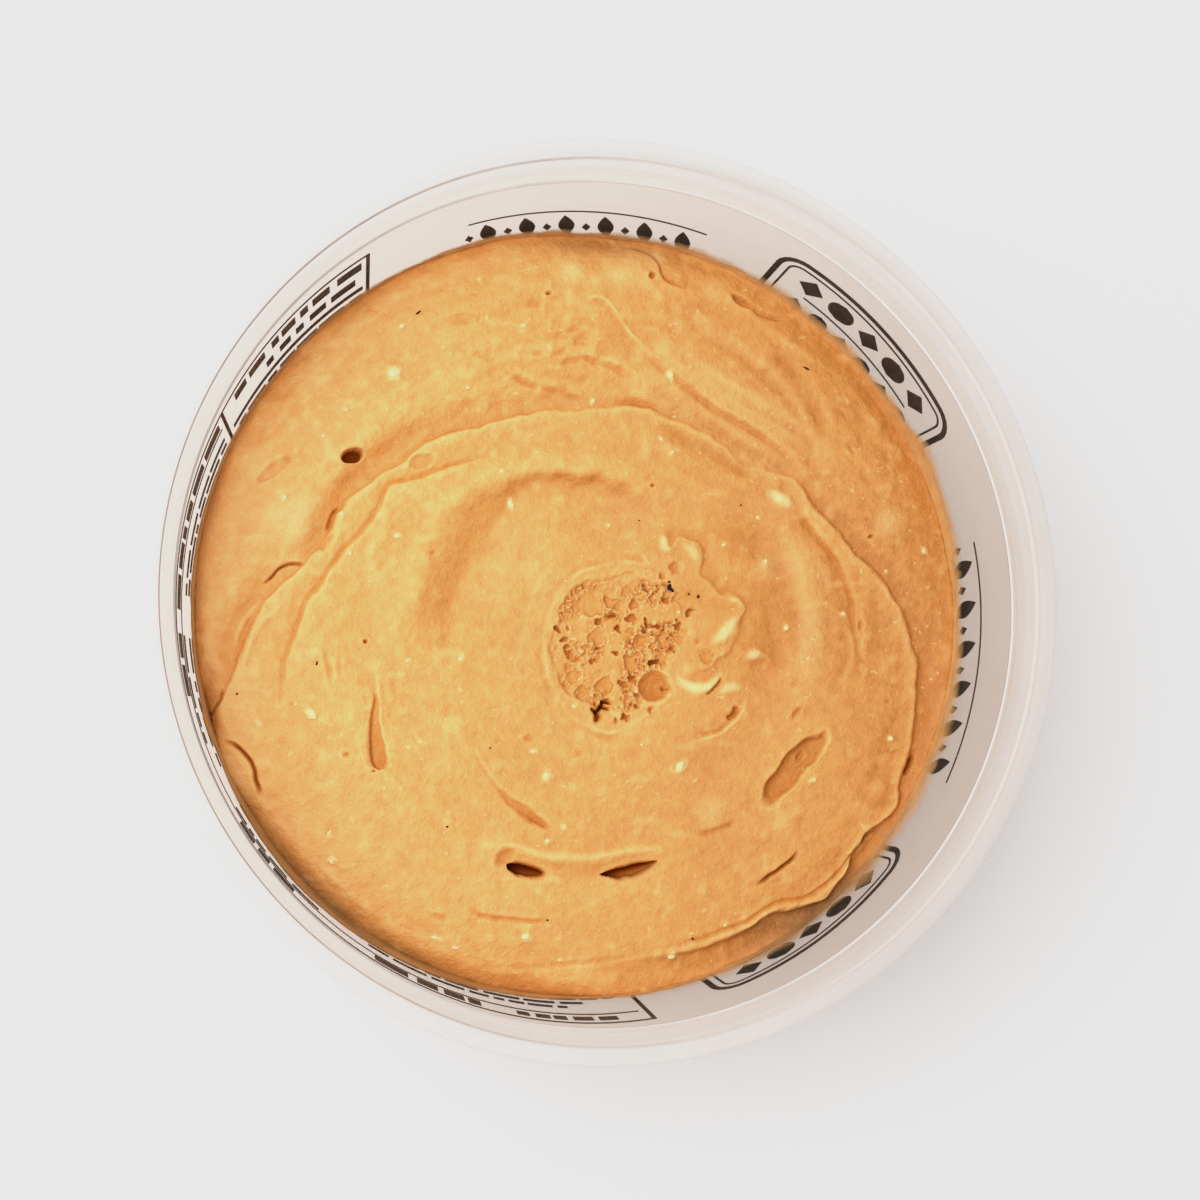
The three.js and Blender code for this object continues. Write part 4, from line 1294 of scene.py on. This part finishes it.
def make_print(material):
    """Generic ornament and plain rules in black on the outside of the wall."""
    ink = Ink()
    deg = 180 / math.pi / 54.0                   # degrees in a mm of arc
    dice = np.random.default_rng(5)

    # the ruled panel
    top, low = 49.6, 12.0
    ink.bar(124, 278, top - 0.45, top)
    ink.bar(124, 278, low, low + 0.45)
    for th in (124, 154.3, 277.4):
        ink.bar(th, th + 0.6, low, top)

    def words(th0, th1, z0, z1, least, most, gap, slant=0.0):
        th = th0
        while th < th1:
            w = (least + (most - least) * dice.random()) * deg
            if th + w > th1:
                break
            lift = 0.0
            ink.quad(((th, z0), (th + w, z0), (th + w + slant * deg, z1 - lift), (th + slant * deg, z1 - lift)))
            th += w + gap * deg * (0.6 + 0.9 * dice.random())

    # heading: two heavy rows
    words(125.4, 153.2, 45.4, 47.8, 1.2, 4.6, 1.0)
    words(126.5, 149.0, 40.9, 43.0, 1.2, 4.6, 1.0)
    ink.bar(125.2, 153.4, 37.6, 38.8)
    # small rows under it
    z = 36.0
    while z > low + 2:
        words(125.4, 153.2, z - 1.0, z, 1.2, 5.0, 0.7)
        z -= 2.6
    # the long part of the panel
    ink.bar(155.6, 276.6, 44.2, 44.55)
    words(156, 183, 45.5, 47.9, 1.4, 5.0, 0.8)
    words(185, 196, 45.5, 47.9, 1.4, 5.0, 0.8)
    words(212, 227, 45.5, 47.9, 1.4, 5.0, 0.8)
    words(238, 256.5, 45.2, 48.0, 1.6, 6.0, 0.9)
    words(259, 276.4, 45.9, 47.8, 1.2, 4.0, 0.7)
    z = 43.2
    row = 0
    while z > low + 2.2:
        for a, b in ((156, 182), (185, 206), (210, 232), (237, 276.4)):
            if (row + a) % 5 != 1 and not (a == 237 and z > 42):
                words(a, b - (row * 7 + a) % 6, z - 1.05, z, 1.2, 5.2, 0.75)
        z -= 2.55
        row += 1

    # two plain frames with a row of discs and diamonds in them
    def plate(mid, half, top, low):
        for inset, width in ((0.0, 0.85), (1.5, 0.32)):
            a, b = mid - half + inset * deg, mid + half - inset * deg
            t, l = top - inset, low + inset
            c, cd = 3.4 - inset, (3.4 - inset) * deg
            outline = []
            for corner, (ox, oz) in enumerate(((b - cd, t - c), (b - cd, l + c), (a + cd, l + c), (a + cd, t - c))):
                for k in range(7):
                    turn = math.pi / 2 * (1 - corner - k / 6)
                    outline.append((ox + cd * math.cos(turn), oz + c * math.sin(turn)))
            ink.stroke(outline + outline[:1], width)
        for row, z, size in ((0, top - 4.9, 4.3), (1, top - 11.2, 3.2), (2, top - 16.6, 3.2), (3, top - 22.0, 3.2)):
            n = 5 if row % 2 == 0 else 6
            for i in range(n):
                th = mid + (i - (n - 1) / 2) * (2 * half - 6.5 * deg) / n
                if z - size / 2 < low + 2.4:
                    continue
                if (i + row) % 2:
                    ink.leaf((th, z - size / 2), (th, z + size / 2), size, 0.5)
                else:
                    ink.leaf((th, z - size / 2), (th, z + size / 2), size * 0.92, 0.0)
        ink.bar(mid - half + 6 * deg, mid + half - 6 * deg, top - 8.4, top - 8.1)

    plate(44.0, 17.6, 49.4, 20.0)
    plate(305.5, 17.0, 45.2, 16.0)

    # two bands of leaning leaves with small diamonds between them
    def garland(mid, half, top):
        low = top - 6.6
        n = 6
        step = 2 * half / n
        for i in range(n):
            a = mid - half + step * (i + 0.28)
            ink.leaf((a, low), (a + 1.5 * deg, top), 2.3, 0.75)
            ink.leaf((a + step * 0.57, low + 1.6), (a + step * 0.57 + 0.5 * deg, low + 4.0), 1.2, 0.0)
        ink.bar(mid - half, mid + half, low - 1.9, low - 1.45)
        ink.bar(mid - half, mid + half, top + 1.3, top + 1.6)

    garland(90.5, 17.8, 42.6)
    garland(352.2, 18.0, 44.2)
    ob = link("print", ink.verts, ink.faces, material, False)
    shell = bmesh.new()
    shell.from_mesh(ob.data)
    bmesh.ops.recalc_face_normals(shell, faces=shell.faces)
    shell.to_mesh(ob.data)
    shell.free()
    return ob


# ------------------------------------------------------------------ small bits


def blob(verts, faces, centre, radii, turn, seed, rough=0.14, rings=9, around=14):
    base = len(verts)
    c, s = math.cos(math.radians(turn)), math.sin(math.radians(turn))
    for i in range(rings + 1):
        lat = math.pi * (i / rings - 0.5)
        for k in range(around if 0 < i < rings else 1):
            lon = 2 * math.pi * k / around
            d = np.array([math.cos(lat) * math.cos(lon), math.cos(lat) * math.sin(lon), math.sin(lat)])
            n = float(noise(np.array([d[0] * 1.3 + seed]), np.array([d[1] * 1.3 + d[2] * 1.7]), 1.0, seed % 50)[0])
            m = float(noise(np.array([d[0] * 3 + seed]), np.array([d[1] * 3 + d[2] * 2.1]), 1.0, seed % 50 + 9)[0])
            f = 1 + rough * (1.6 * n + 0.8 * m)
            p = d * np.array(radii) * f
            verts.append((centre[0] + p[0] * c - p[1] * s, centre[1] + p[0] * s + p[1] * c, centre[2] + p[2]))
    row = lambda i: base if i == 0 else base + 1 + (i - 1) * around
    for k in range(around):
        k2 = (k + 1) % around
        faces.append([base, row(1) + k2, row(1) + k])
    for i in range(1, rings - 1):
        for k in range(around):
            k2 = (k + 1) % around
            faces.append([row(i) + k, row(i) + k2, row(i + 1) + k2, row(i + 1) + k])
    end = base + 1 + (rings - 1) * around
    for k in range(around):
        k2 = (k + 1) % around
        faces.append([end, row(rings - 1) + k, row(rings - 1) + k2])


def surface_z(top, x, y):
    d = (top[:, 0] - x) ** 2 + (top[:, 1] - y) ** 2
    i = np.argpartition(d, 4)[:4]
    return float(np.average(top[i, 2], weights=1 / (d[i] + 1e-4)))


def make_bits(top, curd_material, speck_material, fleck_material):
    verts, faces = [], []
    for k, (px, py, a, b, turn) in enumerate(CURDS):
        x, y = at(px, py)
        z = surface_z(top, float(x), float(y))
        a, b = a / PX, b / PX
        thick = 0.62 * min(a, b)
        blob(verts, faces, (float(x), float(y), z - thick * 0.55), (a * 0.82, b * 0.82, thick), turn, k + 1)
    curds = link("curd_bits", verts, faces, curd_material)
    verts, faces = [], []
    for k, (px, py, a, b, turn) in enumerate(SPECKS):
        x, y = at(px, py)
        z = surface_z(top, float(x), float(y))
        blob(verts, faces, (float(x), float(y), z), (a / PX, b / PX, 0.12), turn, k + 80, 0.2, 6, 10)
    for px, py, rad in ((698.5, 596.3, 2.1), (689, 594, 1.2)):
        x, y = at(px, py)
        z = surface_z(top, float(x), float(y))
        blob(verts, faces, (float(x), float(y), z), (rad / PX, rad / PX, 0.16), 0, int(px), 0.2, 6, 10)
    specks = link("dark_specks", verts, faces, speck_material)
    verts, faces = [], []
    for px, py, a, b, turn in ((670.4, 586, 3.4, 1.7, 70), (673, 590.4, 3.0, 1.4, -35), (669.5, 581.8, 1.5, 1.1, 20)):
        x, y = at(px, py)
        z = surface_z(top, float(x), float(y))
        blob(verts, faces, (float(x), float(y), z + 0.10), (a / PX, b / PX, 0.22), turn, int(px), 0.3, 7, 12)
    fleck = link("blue_fleck", verts, faces, fleck_material)
    return curds, specks, fleck


# ------------------------------------------------------------------ materials


class Nodes:
    def __init__(self, name):
        self.m = bpy.data.materials.new(name)
        self.m.use_nodes = True
        self.t = self.m.node_tree
        self.t.nodes.clear()
        self.out = self.t.nodes.new("ShaderNodeOutputMaterial")

    def add(self, kind, **values):
        n = self.t.nodes.new(kind)
        for k, v in values.items():
            if hasattr(n, k) and k not in n.inputs:
                setattr(n, k, v)
            else:
                n.inputs[k.replace("_", " ")].default_value = v
        return n

    def link(self, a, b):
        self.t.links.new(a, b)

    def ramp(self, source, stops):
        n = self.t.nodes.new("ShaderNodeValToRGB")
        n.color_ramp.interpolation = "EASE" if len(stops) == 2 else "LINEAR"
        while len(n.color_ramp.elements) < len(stops):
            n.color_ramp.elements.new(0.5)
        for e, (pos, col) in zip(n.color_ramp.elements, stops):
            e.position = pos
            e.color = (*col, 1) if len(col) == 3 else col
        self.link(source, n.inputs[0])
        return n.outputs[0]

    def mix(self, factor, a, b, blend="MIX"):
        n = self.t.nodes.new("ShaderNodeMix")
        n.data_type = "RGBA"
        n.blend_type = blend
        for socket, value in ((n.inputs[0], factor), (n.inputs[6], a), (n.inputs[7], b)):
            if isinstance(value, bpy.types.NodeSocket):
                self.link(value, socket)
            elif isinstance(value, (int, float)):
                socket.default_value = value
            else:
                socket.default_value = (*value, 1)
        return n.outputs[2]

    def maths(self, operation, a, b=None, clamp=False):
        n = self.t.nodes.new("ShaderNodeMath")
        n.operation = operation
        n.use_clamp = clamp
        for socket, value in ((n.inputs[0], a), (n.inputs[1], b)):
            if value is None:
                continue
            if isinstance(value, bpy.types.NodeSocket):
                self.link(value, socket)
            else:
                socket.default_value = value
        return n.outputs[0]

    def noise(self, vector, scale, detail=3.0, rough=0.5, distortion=0.0):
        n = self.t.nodes.new("ShaderNodeTexNoise")
        n.inputs["Scale"].default_value = scale
        n.inputs["Detail"].default_value = detail
        n.inputs["Roughness"].default_value = rough
        n.inputs["Distortion"].default_value = distortion
        self.link(vector, n.inputs["Vector"])
        return n.outputs["Fac"]

    def object_coords(self):
        return self.t.nodes.new("ShaderNodeTexCoord").outputs["Object"]

    def bump(self, height, strength, distance, normal=None):
        n = self.t.nodes.new("ShaderNodeBump")
        n.inputs["Strength"].default_value = strength
        n.inputs["Distance"].default_value = distance
        self.link(height, n.inputs["Height"])
        if normal is not None:
            self.link(normal, n.inputs["Normal"])
        return n.outputs[0]


def spread_material():
    k = Nodes("cheese_spread")
    co = k.object_coords()
    attr = k.add("ShaderNodeAttribute", attribute_name="tone")
    parts = k.t.nodes.new("ShaderNodeSeparateColor")
    k.link(attr.outputs["Color"], parts.inputs[0])
    deep, pale, foam = parts.outputs[0], parts.outputs[1], parts.outputs[2]
    shade = k.add("ShaderNodeAttribute", attribute_name="shade").outputs["Fac"]
    mottle = k.noise(co, 560.0, 4.0, 0.62, 0.3)
    shade = k.maths("ADD", shade, k.maths("MULTIPLY", k.maths("SUBTRACT", mottle, 0.5), 0.85))
    # painted light and shade, with some random tone: deep orange where shaded, light amber where lit
    colour = k.ramp(shade, [
        (0.0, (0.53, 0.202, 0.041)), (0.25, (0.66, 0.271, 0.066)), (0.5, (0.765, 0.328, 0.084)),
        (0.75, (0.86, 0.394, 0.112)), (1.0, (0.92, 0.478, 0.154)),
    ])
    colour = k.mix(k.maths("MULTIPLY", foam, 0.60), colour, (0.735, 0.315, 0.074))
    flecks = k.ramp(k.noise(co, 1150.0, 1.0, 0.5), [(0.70, (0, 0, 0)), (0.76, (1, 1, 1))])
    colour = k.mix(k.maths("MULTIPLY", flecks, 0.40), colour, (0.93, 0.62, 0.26))
    # the curds' own colour and painted highlights
    colour = k.mix(k.maths("MULTIPLY", pale, 0.85), colour, (0.94, 0.70, 0.30))
    # painted shade: hollows, creases and edges go to brown
    hollow = k.ramp(deep, [(0.0, (0.56, 0.215, 0.040)), (0.5, (0.46, 0.155, 0.018)), (0.80, (0.32, 0.066, 0.001)), (1.0, (0.15, 0.020, 0.0003))])
    colour = k.mix(k.maths("POWER", deep, 0.92), colour, hollow)
    # painted shadow: darkens towards black where the tone attribute's alpha is low
    colour = k.mix(k.maths("SUBTRACT", 1.0, attr.outputs["Alpha"]), colour, (0.0, 0.0, 0.0))
    p = k.t.nodes.new("ShaderNodeBsdfPrincipled")
    k.link(colour, p.inputs["Base Color"])
    k.link(k.ramp(mottle, [(0.3, (0.40, 0.40, 0.40)), (0.7, (0.54, 0.54, 0.54))]), p.inputs["Roughness"])
    k.link(k.maths("MULTIPLY", k.maths("SUBTRACT", 1.0, deep), 0.35), p.inputs["Specular IOR Level"])
    grain = k.noise(co, 1000.0, 4.0, 0.68)
    height = k.maths("ADD", grain, k.maths("MULTIPLY", mottle, 0.9))
    k.link(k.bump(height, 0.9, 0.00034), p.inputs["Normal"])
    k.link(p.outputs[0], k.out.inputs["Surface"])
    return k.m


def film_material():
    k = Nodes("spread_film")
    co = k.object_coords()
    attr = k.add("ShaderNodeAttribute", attribute_name="film")
    parts = k.t.nodes.new("ShaderNodeSeparateColor")
    k.link(attr.outputs["Color"], parts.inputs[0])
    streak = k.noise(co, 420.0, 3.0, 0.6, 0.4)
    wobble = k.maths("MULTIPLY", k.maths("SUBTRACT", streak, 0.5), 0.55)
    wobble = k.maths("MULTIPLY", wobble, k.maths("SUBTRACT", 1.25, parts.outputs[0]))
    value = k.maths("ADD", parts.outputs[0], k.maths("MULTIPLY", wobble, k.maths("MULTIPLY", parts.outputs[0], 7.0, True)))
    alpha = k.ramp(value, [(0.03, (0, 0, 0)), (0.55, (0.62, 0.62, 0.62)), (0.95, (0.95, 0.95, 0.95))])
    p = k.t.nodes.new("ShaderNodeBsdfPrincipled")
    tint = k.ramp(streak, [(0.3, (0.60, 0.315, 0.105)), (0.7, (0.72, 0.41, 0.16))])
    tint = k.mix(parts.outputs[1], tint, (0.72, 0.50, 0.22))
    # painted shadow on the film from the film attribute's alpha
    tint = k.mix(k.maths("SUBTRACT", 1.0, attr.outputs["Alpha"]), tint, (0.0, 0.0, 0.0))
    k.link(tint, p.inputs["Base Color"])
    p.inputs["Roughness"].default_value = 0.45
    tr = k.t.nodes.new("ShaderNodeBsdfTransparent")
    mx = k.t.nodes.new("ShaderNodeMixShader")
    k.link(alpha, mx.inputs[0])
    k.link(tr.outputs[0], mx.inputs[1])
    k.link(p.outputs[0], mx.inputs[2])
    k.link(mx.outputs[0], k.out.inputs["Surface"])
    return k.m


def plastic_material(name, through, wall, lip, wall_tint, lip_tint, line=None, right=(1.0, 1.0, 1.0)):
    """Thin frosted plastic: part of the light goes straight through, the rest
    is scattered to both sides. The wall is warmer than the lip and the rim,
    a painted reflection of the orange spread."""
    k = Nodes(name)
    co = k.object_coords()
    parts = k.t.nodes.new("ShaderNodeSeparateXYZ")
    k.link(co, parts.inputs[0])
    height = k.t.nodes.new("ShaderNodeMapRange")
    height.inputs["From Min"].default_value = 0.050
    height.inputs["From Max"].default_value = 0.062
    k.link(parts.outputs[2], height.inputs["Value"])
    ledge = (55.50 - 50) / 12
    stops = [(0.0, wall), (ledge, wall)]
    if line:
        # painted shade line at the ledge's inner corner
        stops += [(ledge + 0.006, line), (ledge + 0.020, line), (ledge + 0.026, lip)]
    else:
        # painted light: the rim's top is lighter
        stops += [(ledge + 0.03, lip), (0.84, lip), (0.90, tuple(0.5 + 0.5 * c for c in lip))]
    shade = k.ramp(height.outputs[0], stops)
    cloud = k.ramp(k.noise(co, 90.0, 3.0, 0.5), [(0.3, (0.975, 0.972, 0.968)), (0.7, (1.0, 1.0, 1.0))])
    shade = k.mix(1.0, shade, cloud, "MULTIPLY")
    # painted shade: the plastic goes greyer towards the right of the tub
    side = k.t.nodes.new("ShaderNodeMapRange")
    side.inputs["From Min"].default_value = -0.010
    side.inputs["From Max"].default_value = 0.050
    k.link(parts.outputs[0], side.inputs["Value"])
    right_side_shade = k.ramp(side.outputs[0], [(0.0, (1.0, 1.0, 1.0)), (1.0, right)])
    shade = k.mix(1.0, shade, right_side_shade, "MULTIPLY")
    tints = [(0.0, wall_tint), (ledge, wall_tint)]
    if line:
        # painted shade line at the ledge's inner corner
        tints += [(ledge + 0.006, line), (ledge + 0.020, line), (ledge + 0.026, lip_tint)]
    else:
        # painted light: the rim's top is lighter
        tints += [(ledge + 0.03, lip_tint), (0.84, lip_tint), (0.90, tuple(0.5 + 0.5 * c for c in lip_tint))]
    tint = k.ramp(height.outputs[0], tints)
    p = k.t.nodes.new("ShaderNodeBsdfPrincipled")
    k.link(shade, p.inputs["Base Color"])
    p.inputs["Roughness"].default_value = 0.36
    p.inputs["Specular IOR Level"].default_value = 0.34
    fine = k.bump(k.noise(co, 1500.0, 2.0, 0.5), 0.12, 0.00008)
    k.link(fine, p.inputs["Normal"])
    back = k.t.nodes.new("ShaderNodeBsdfTranslucent")
    k.link(shade, back.inputs["Color"])
    both = k.t.nodes.new("ShaderNodeMixShader")
    both.inputs[0].default_value = 0.62
    k.link(p.outputs[0], both.inputs[1])
    k.link(back.outputs[0], both.inputs[2])
    tr = k.t.nodes.new("ShaderNodeBsdfTransparent")
    k.link(tint, tr.inputs["Color"])
    mx = k.t.nodes.new("ShaderNodeMixShader")
    mx.inputs[0].default_value = 1 - through
    k.link(tr.outputs[0], mx.inputs[1])
    k.link(both.outputs[0], mx.inputs[2])
    k.link(mx.outputs[0], k.out.inputs["Surface"])
    return k.m


def shade_line_material():
    """Painted shade lines where the plastic turns: dark on the left of the tub,
    hardly there on the right."""
    k = Nodes("painted_corner_shade")
    co = k.object_coords()
    parts = k.t.nodes.new("ShaderNodeSeparateXYZ")
    k.link(co, parts.inputs[0])
    side = k.t.nodes.new("ShaderNodeMapRange")
    side.inputs["From Min"].default_value = -0.045
    side.inputs["From Max"].default_value = 0.040
    k.link(parts.outputs[0], side.inputs["Value"])
    wobble = k.maths("ADD", side.outputs[0], k.maths("MULTIPLY", k.maths("SUBTRACT", k.noise(co, 120.0, 2.0, 0.5), 0.5), 0.5))
    shade = k.ramp(wobble, [(0.0, (0.40, 0.385, 0.38)), (0.55, (0.74, 0.71, 0.69)), (1.0, (0.93, 0.91, 0.90))])
    tint = k.ramp(wobble, [(0.0, (0.52, 0.505, 0.50)), (0.55, (0.82, 0.80, 0.78)), (1.0, (0.97, 0.96, 0.95))])
    p = k.t.nodes.new("ShaderNodeBsdfPrincipled")
    k.link(shade, p.inputs["Base Color"])
    p.inputs["Roughness"].default_value = 0.3
    tr = k.t.nodes.new("ShaderNodeBsdfTransparent")
    k.link(tint, tr.inputs["Color"])
    mx = k.t.nodes.new("ShaderNodeMixShader")
    mx.inputs[0].default_value = 0.5
    k.link(tr.outputs[0], mx.inputs[1])
    k.link(p.outputs[0], mx.inputs[2])
    k.link(mx.outputs[0], k.out.inputs["Surface"])
    return k.m


def ink_material():
    k = Nodes("black_ink")
    co = k.object_coords()
    p = k.t.nodes.new("ShaderNodeBsdfPrincipled")
    shade = k.ramp(k.noise(co, 700.0, 3.0, 0.6), [(0.3, (0.006, 0.005, 0.005)), (0.7, (0.012, 0.011, 0.011))])
    k.link(shade, p.inputs["Base Color"])
    rough = k.ramp(k.noise(co, 500.0, 2.0, 0.5), [(0.3, (0.45, 0.45, 0.45)), (0.7, (0.6, 0.6, 0.6))])
    k.link(rough, p.inputs["Roughness"])
    p.inputs["Specular IOR Level"].default_value = 0.25
    k.link(p.outputs[0], k.out.inputs["Surface"])
    return k.m


def plain_bits(name, light, dark, rough, scale, sss=0.0, shine=0.5):
    k = Nodes(name)
    co = k.object_coords()
    p = k.t.nodes.new("ShaderNodeBsdfPrincipled")
    shade = k.ramp(k.noise(co, scale, 3.0, 0.6), [(0.3, dark), (0.7, light)])
    k.link(shade, p.inputs["Base Color"])
    p.inputs["Roughness"].default_value = rough
    p.inputs["Specular IOR Level"].default_value = shine
    if sss:
        p.inputs["Subsurface Weight"].default_value = sss
        p.inputs["Subsurface Radius"].default_value = (1.0, 0.6, 0.3)
        p.inputs["Subsurface Scale"].default_value = 0.001
    k.link(k.bump(k.noise(co, scale * 1.5, 3.0, 0.6), 0.4, 0.0001), p.inputs["Normal"])
    k.link(p.outputs[0], k.out.inputs["Surface"])
    return k.m


def floor_material():
    k = Nodes("pale_floor")
    co = k.object_coords()
    p = k.t.nodes.new("ShaderNodeBsdfPrincipled")
    shade = k.ramp(k.noise(co, 6.0, 2.0, 0.5), [(0.3, (0.93, 0.93, 0.93)), (0.7, (0.94, 0.94, 0.94))])
    k.link(shade, p.inputs["Base Color"])
    p.inputs["Roughness"].default_value = 0.8
    p.inputs["Specular IOR Level"].default_value = 0.1
    k.link(p.outputs[0], k.out.inputs["Surface"])
    return k.m


# ------------------------------------------------------------------ the object

# frosted body: the wall is painted warmer for the spread's reflection, the right side painted greyer
frost = plastic_material(
    "frosted_plastic", 0.56, (0.83, 0.75, 0.69), (0.96, 0.945, 0.935), (0.925, 0.87, 0.82), (0.985, 0.975, 0.97),
    right=(0.95, 0.93, 0.915),
)
# clear inner face, with a painted shade line at the ledge's inner corner
clear = plastic_material(
    "clear_inner_face", 0.96, (0.86, 0.80, 0.75), (0.93, 0.90, 0.88), (0.975, 0.95, 0.93), (0.98, 0.965, 0.95),
    (0.66, 0.60, 0.56),
)
# painted shade lines where the plastic turns
shade_line = shade_line_material()
tub = make_tub([frost, clear, shade_line])
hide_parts("tub")
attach(tub, "root")

spread, top, edge_angles, edge_z = make_spread(spread_material())
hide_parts("spread")
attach(spread, "root")

smear = make_smear(film_material(), edge_angles, edge_z)
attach(smear, "root")

ink = make_print(ink_material())
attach(ink, "root")

curds, specks, fleck = make_bits(
    top,
    plain_bits("pale_curd", (0.93, 0.73, 0.35), (0.90, 0.62, 0.26), 0.45, 900.0, 0.2),
    plain_bits("dark_speck", (0.085, 0.032, 0.012), (0.045, 0.014, 0.005), 0.7, 1500.0, 0.0, 0.08),
    plain_bits("blue_fleck", (0.030, 0.031, 0.040), (0.006, 0.006, 0.010), 0.75, 2600.0, 0.0, 0.04),
)
for ob, slot in ((curds, "curd"), (specks, "speck"), (fleck, "speck")):
    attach(ob, "root")

# ------------------------------------------------------------------ stage


def make_stage():
    s = 2.5
    floor = link("floor", np.array([(-s, -s, 0), (s, -s, 0), (s, s, 0), (-s, s, 0)]) / MM + [0, 0, -0.03], [[0, 1, 2, 3]], floor_material(), False)
    scene = bpy.context.scene
    world = bpy.data.worlds.new("studio")
    scene.world = world
    world.use_nodes = True
    bg = world.node_tree.nodes["Background"]
    bg.inputs["Color"].default_value = (1.0, 1.0, 1.0, 1)
    bg.inputs["Strength"].default_value = 0.60
    # a big soft window, near on the left
    light = bpy.data.lights.new("window", "AREA")
    light.shape = "SQUARE"
    light.size = 0.34
    light.energy = 2.15
    light.color = (1.0, 0.99, 0.975)
    ob = bpy.data.objects.new("window", light)
    bpy.context.collection.objects.link(ob)
    place = Vector((-0.23, 0.05, 0.45))
    ob.location = place
    ob.rotation_mode = "QUATERNION"
    ob.rotation_quaternion = (Vector((0, 0, 0.04)) - place).to_track_quat("-Z", "Y")
    # the picture's tone curve: true in the middle, with a soft shoulder that
    # tops out at the photograph's white
    view = scene.view_settings
    view.view_transform = "Standard"
    view.use_curve_mapping = True
    curves = view.curve_mapping
    curves.use_clip = True
    curves.clip_max_x = 8.0
    curves.extend = "HORIZONTAL"
    points = curves.curves[3].points
    stops = [(0, 0), (0.35, 0.35), (0.66, 0.66), (0.80, 0.758), (0.94, 0.800), (1.10, 0.815), (8.0, 0.815)]
    while len(points) < len(stops):
        points.new(0.5, 0.5)
    for point, stop in zip(points, stops):
        point.location = stop
        point.handle_type = "AUTO_CLAMPED"
    curves.update()


make_stage()
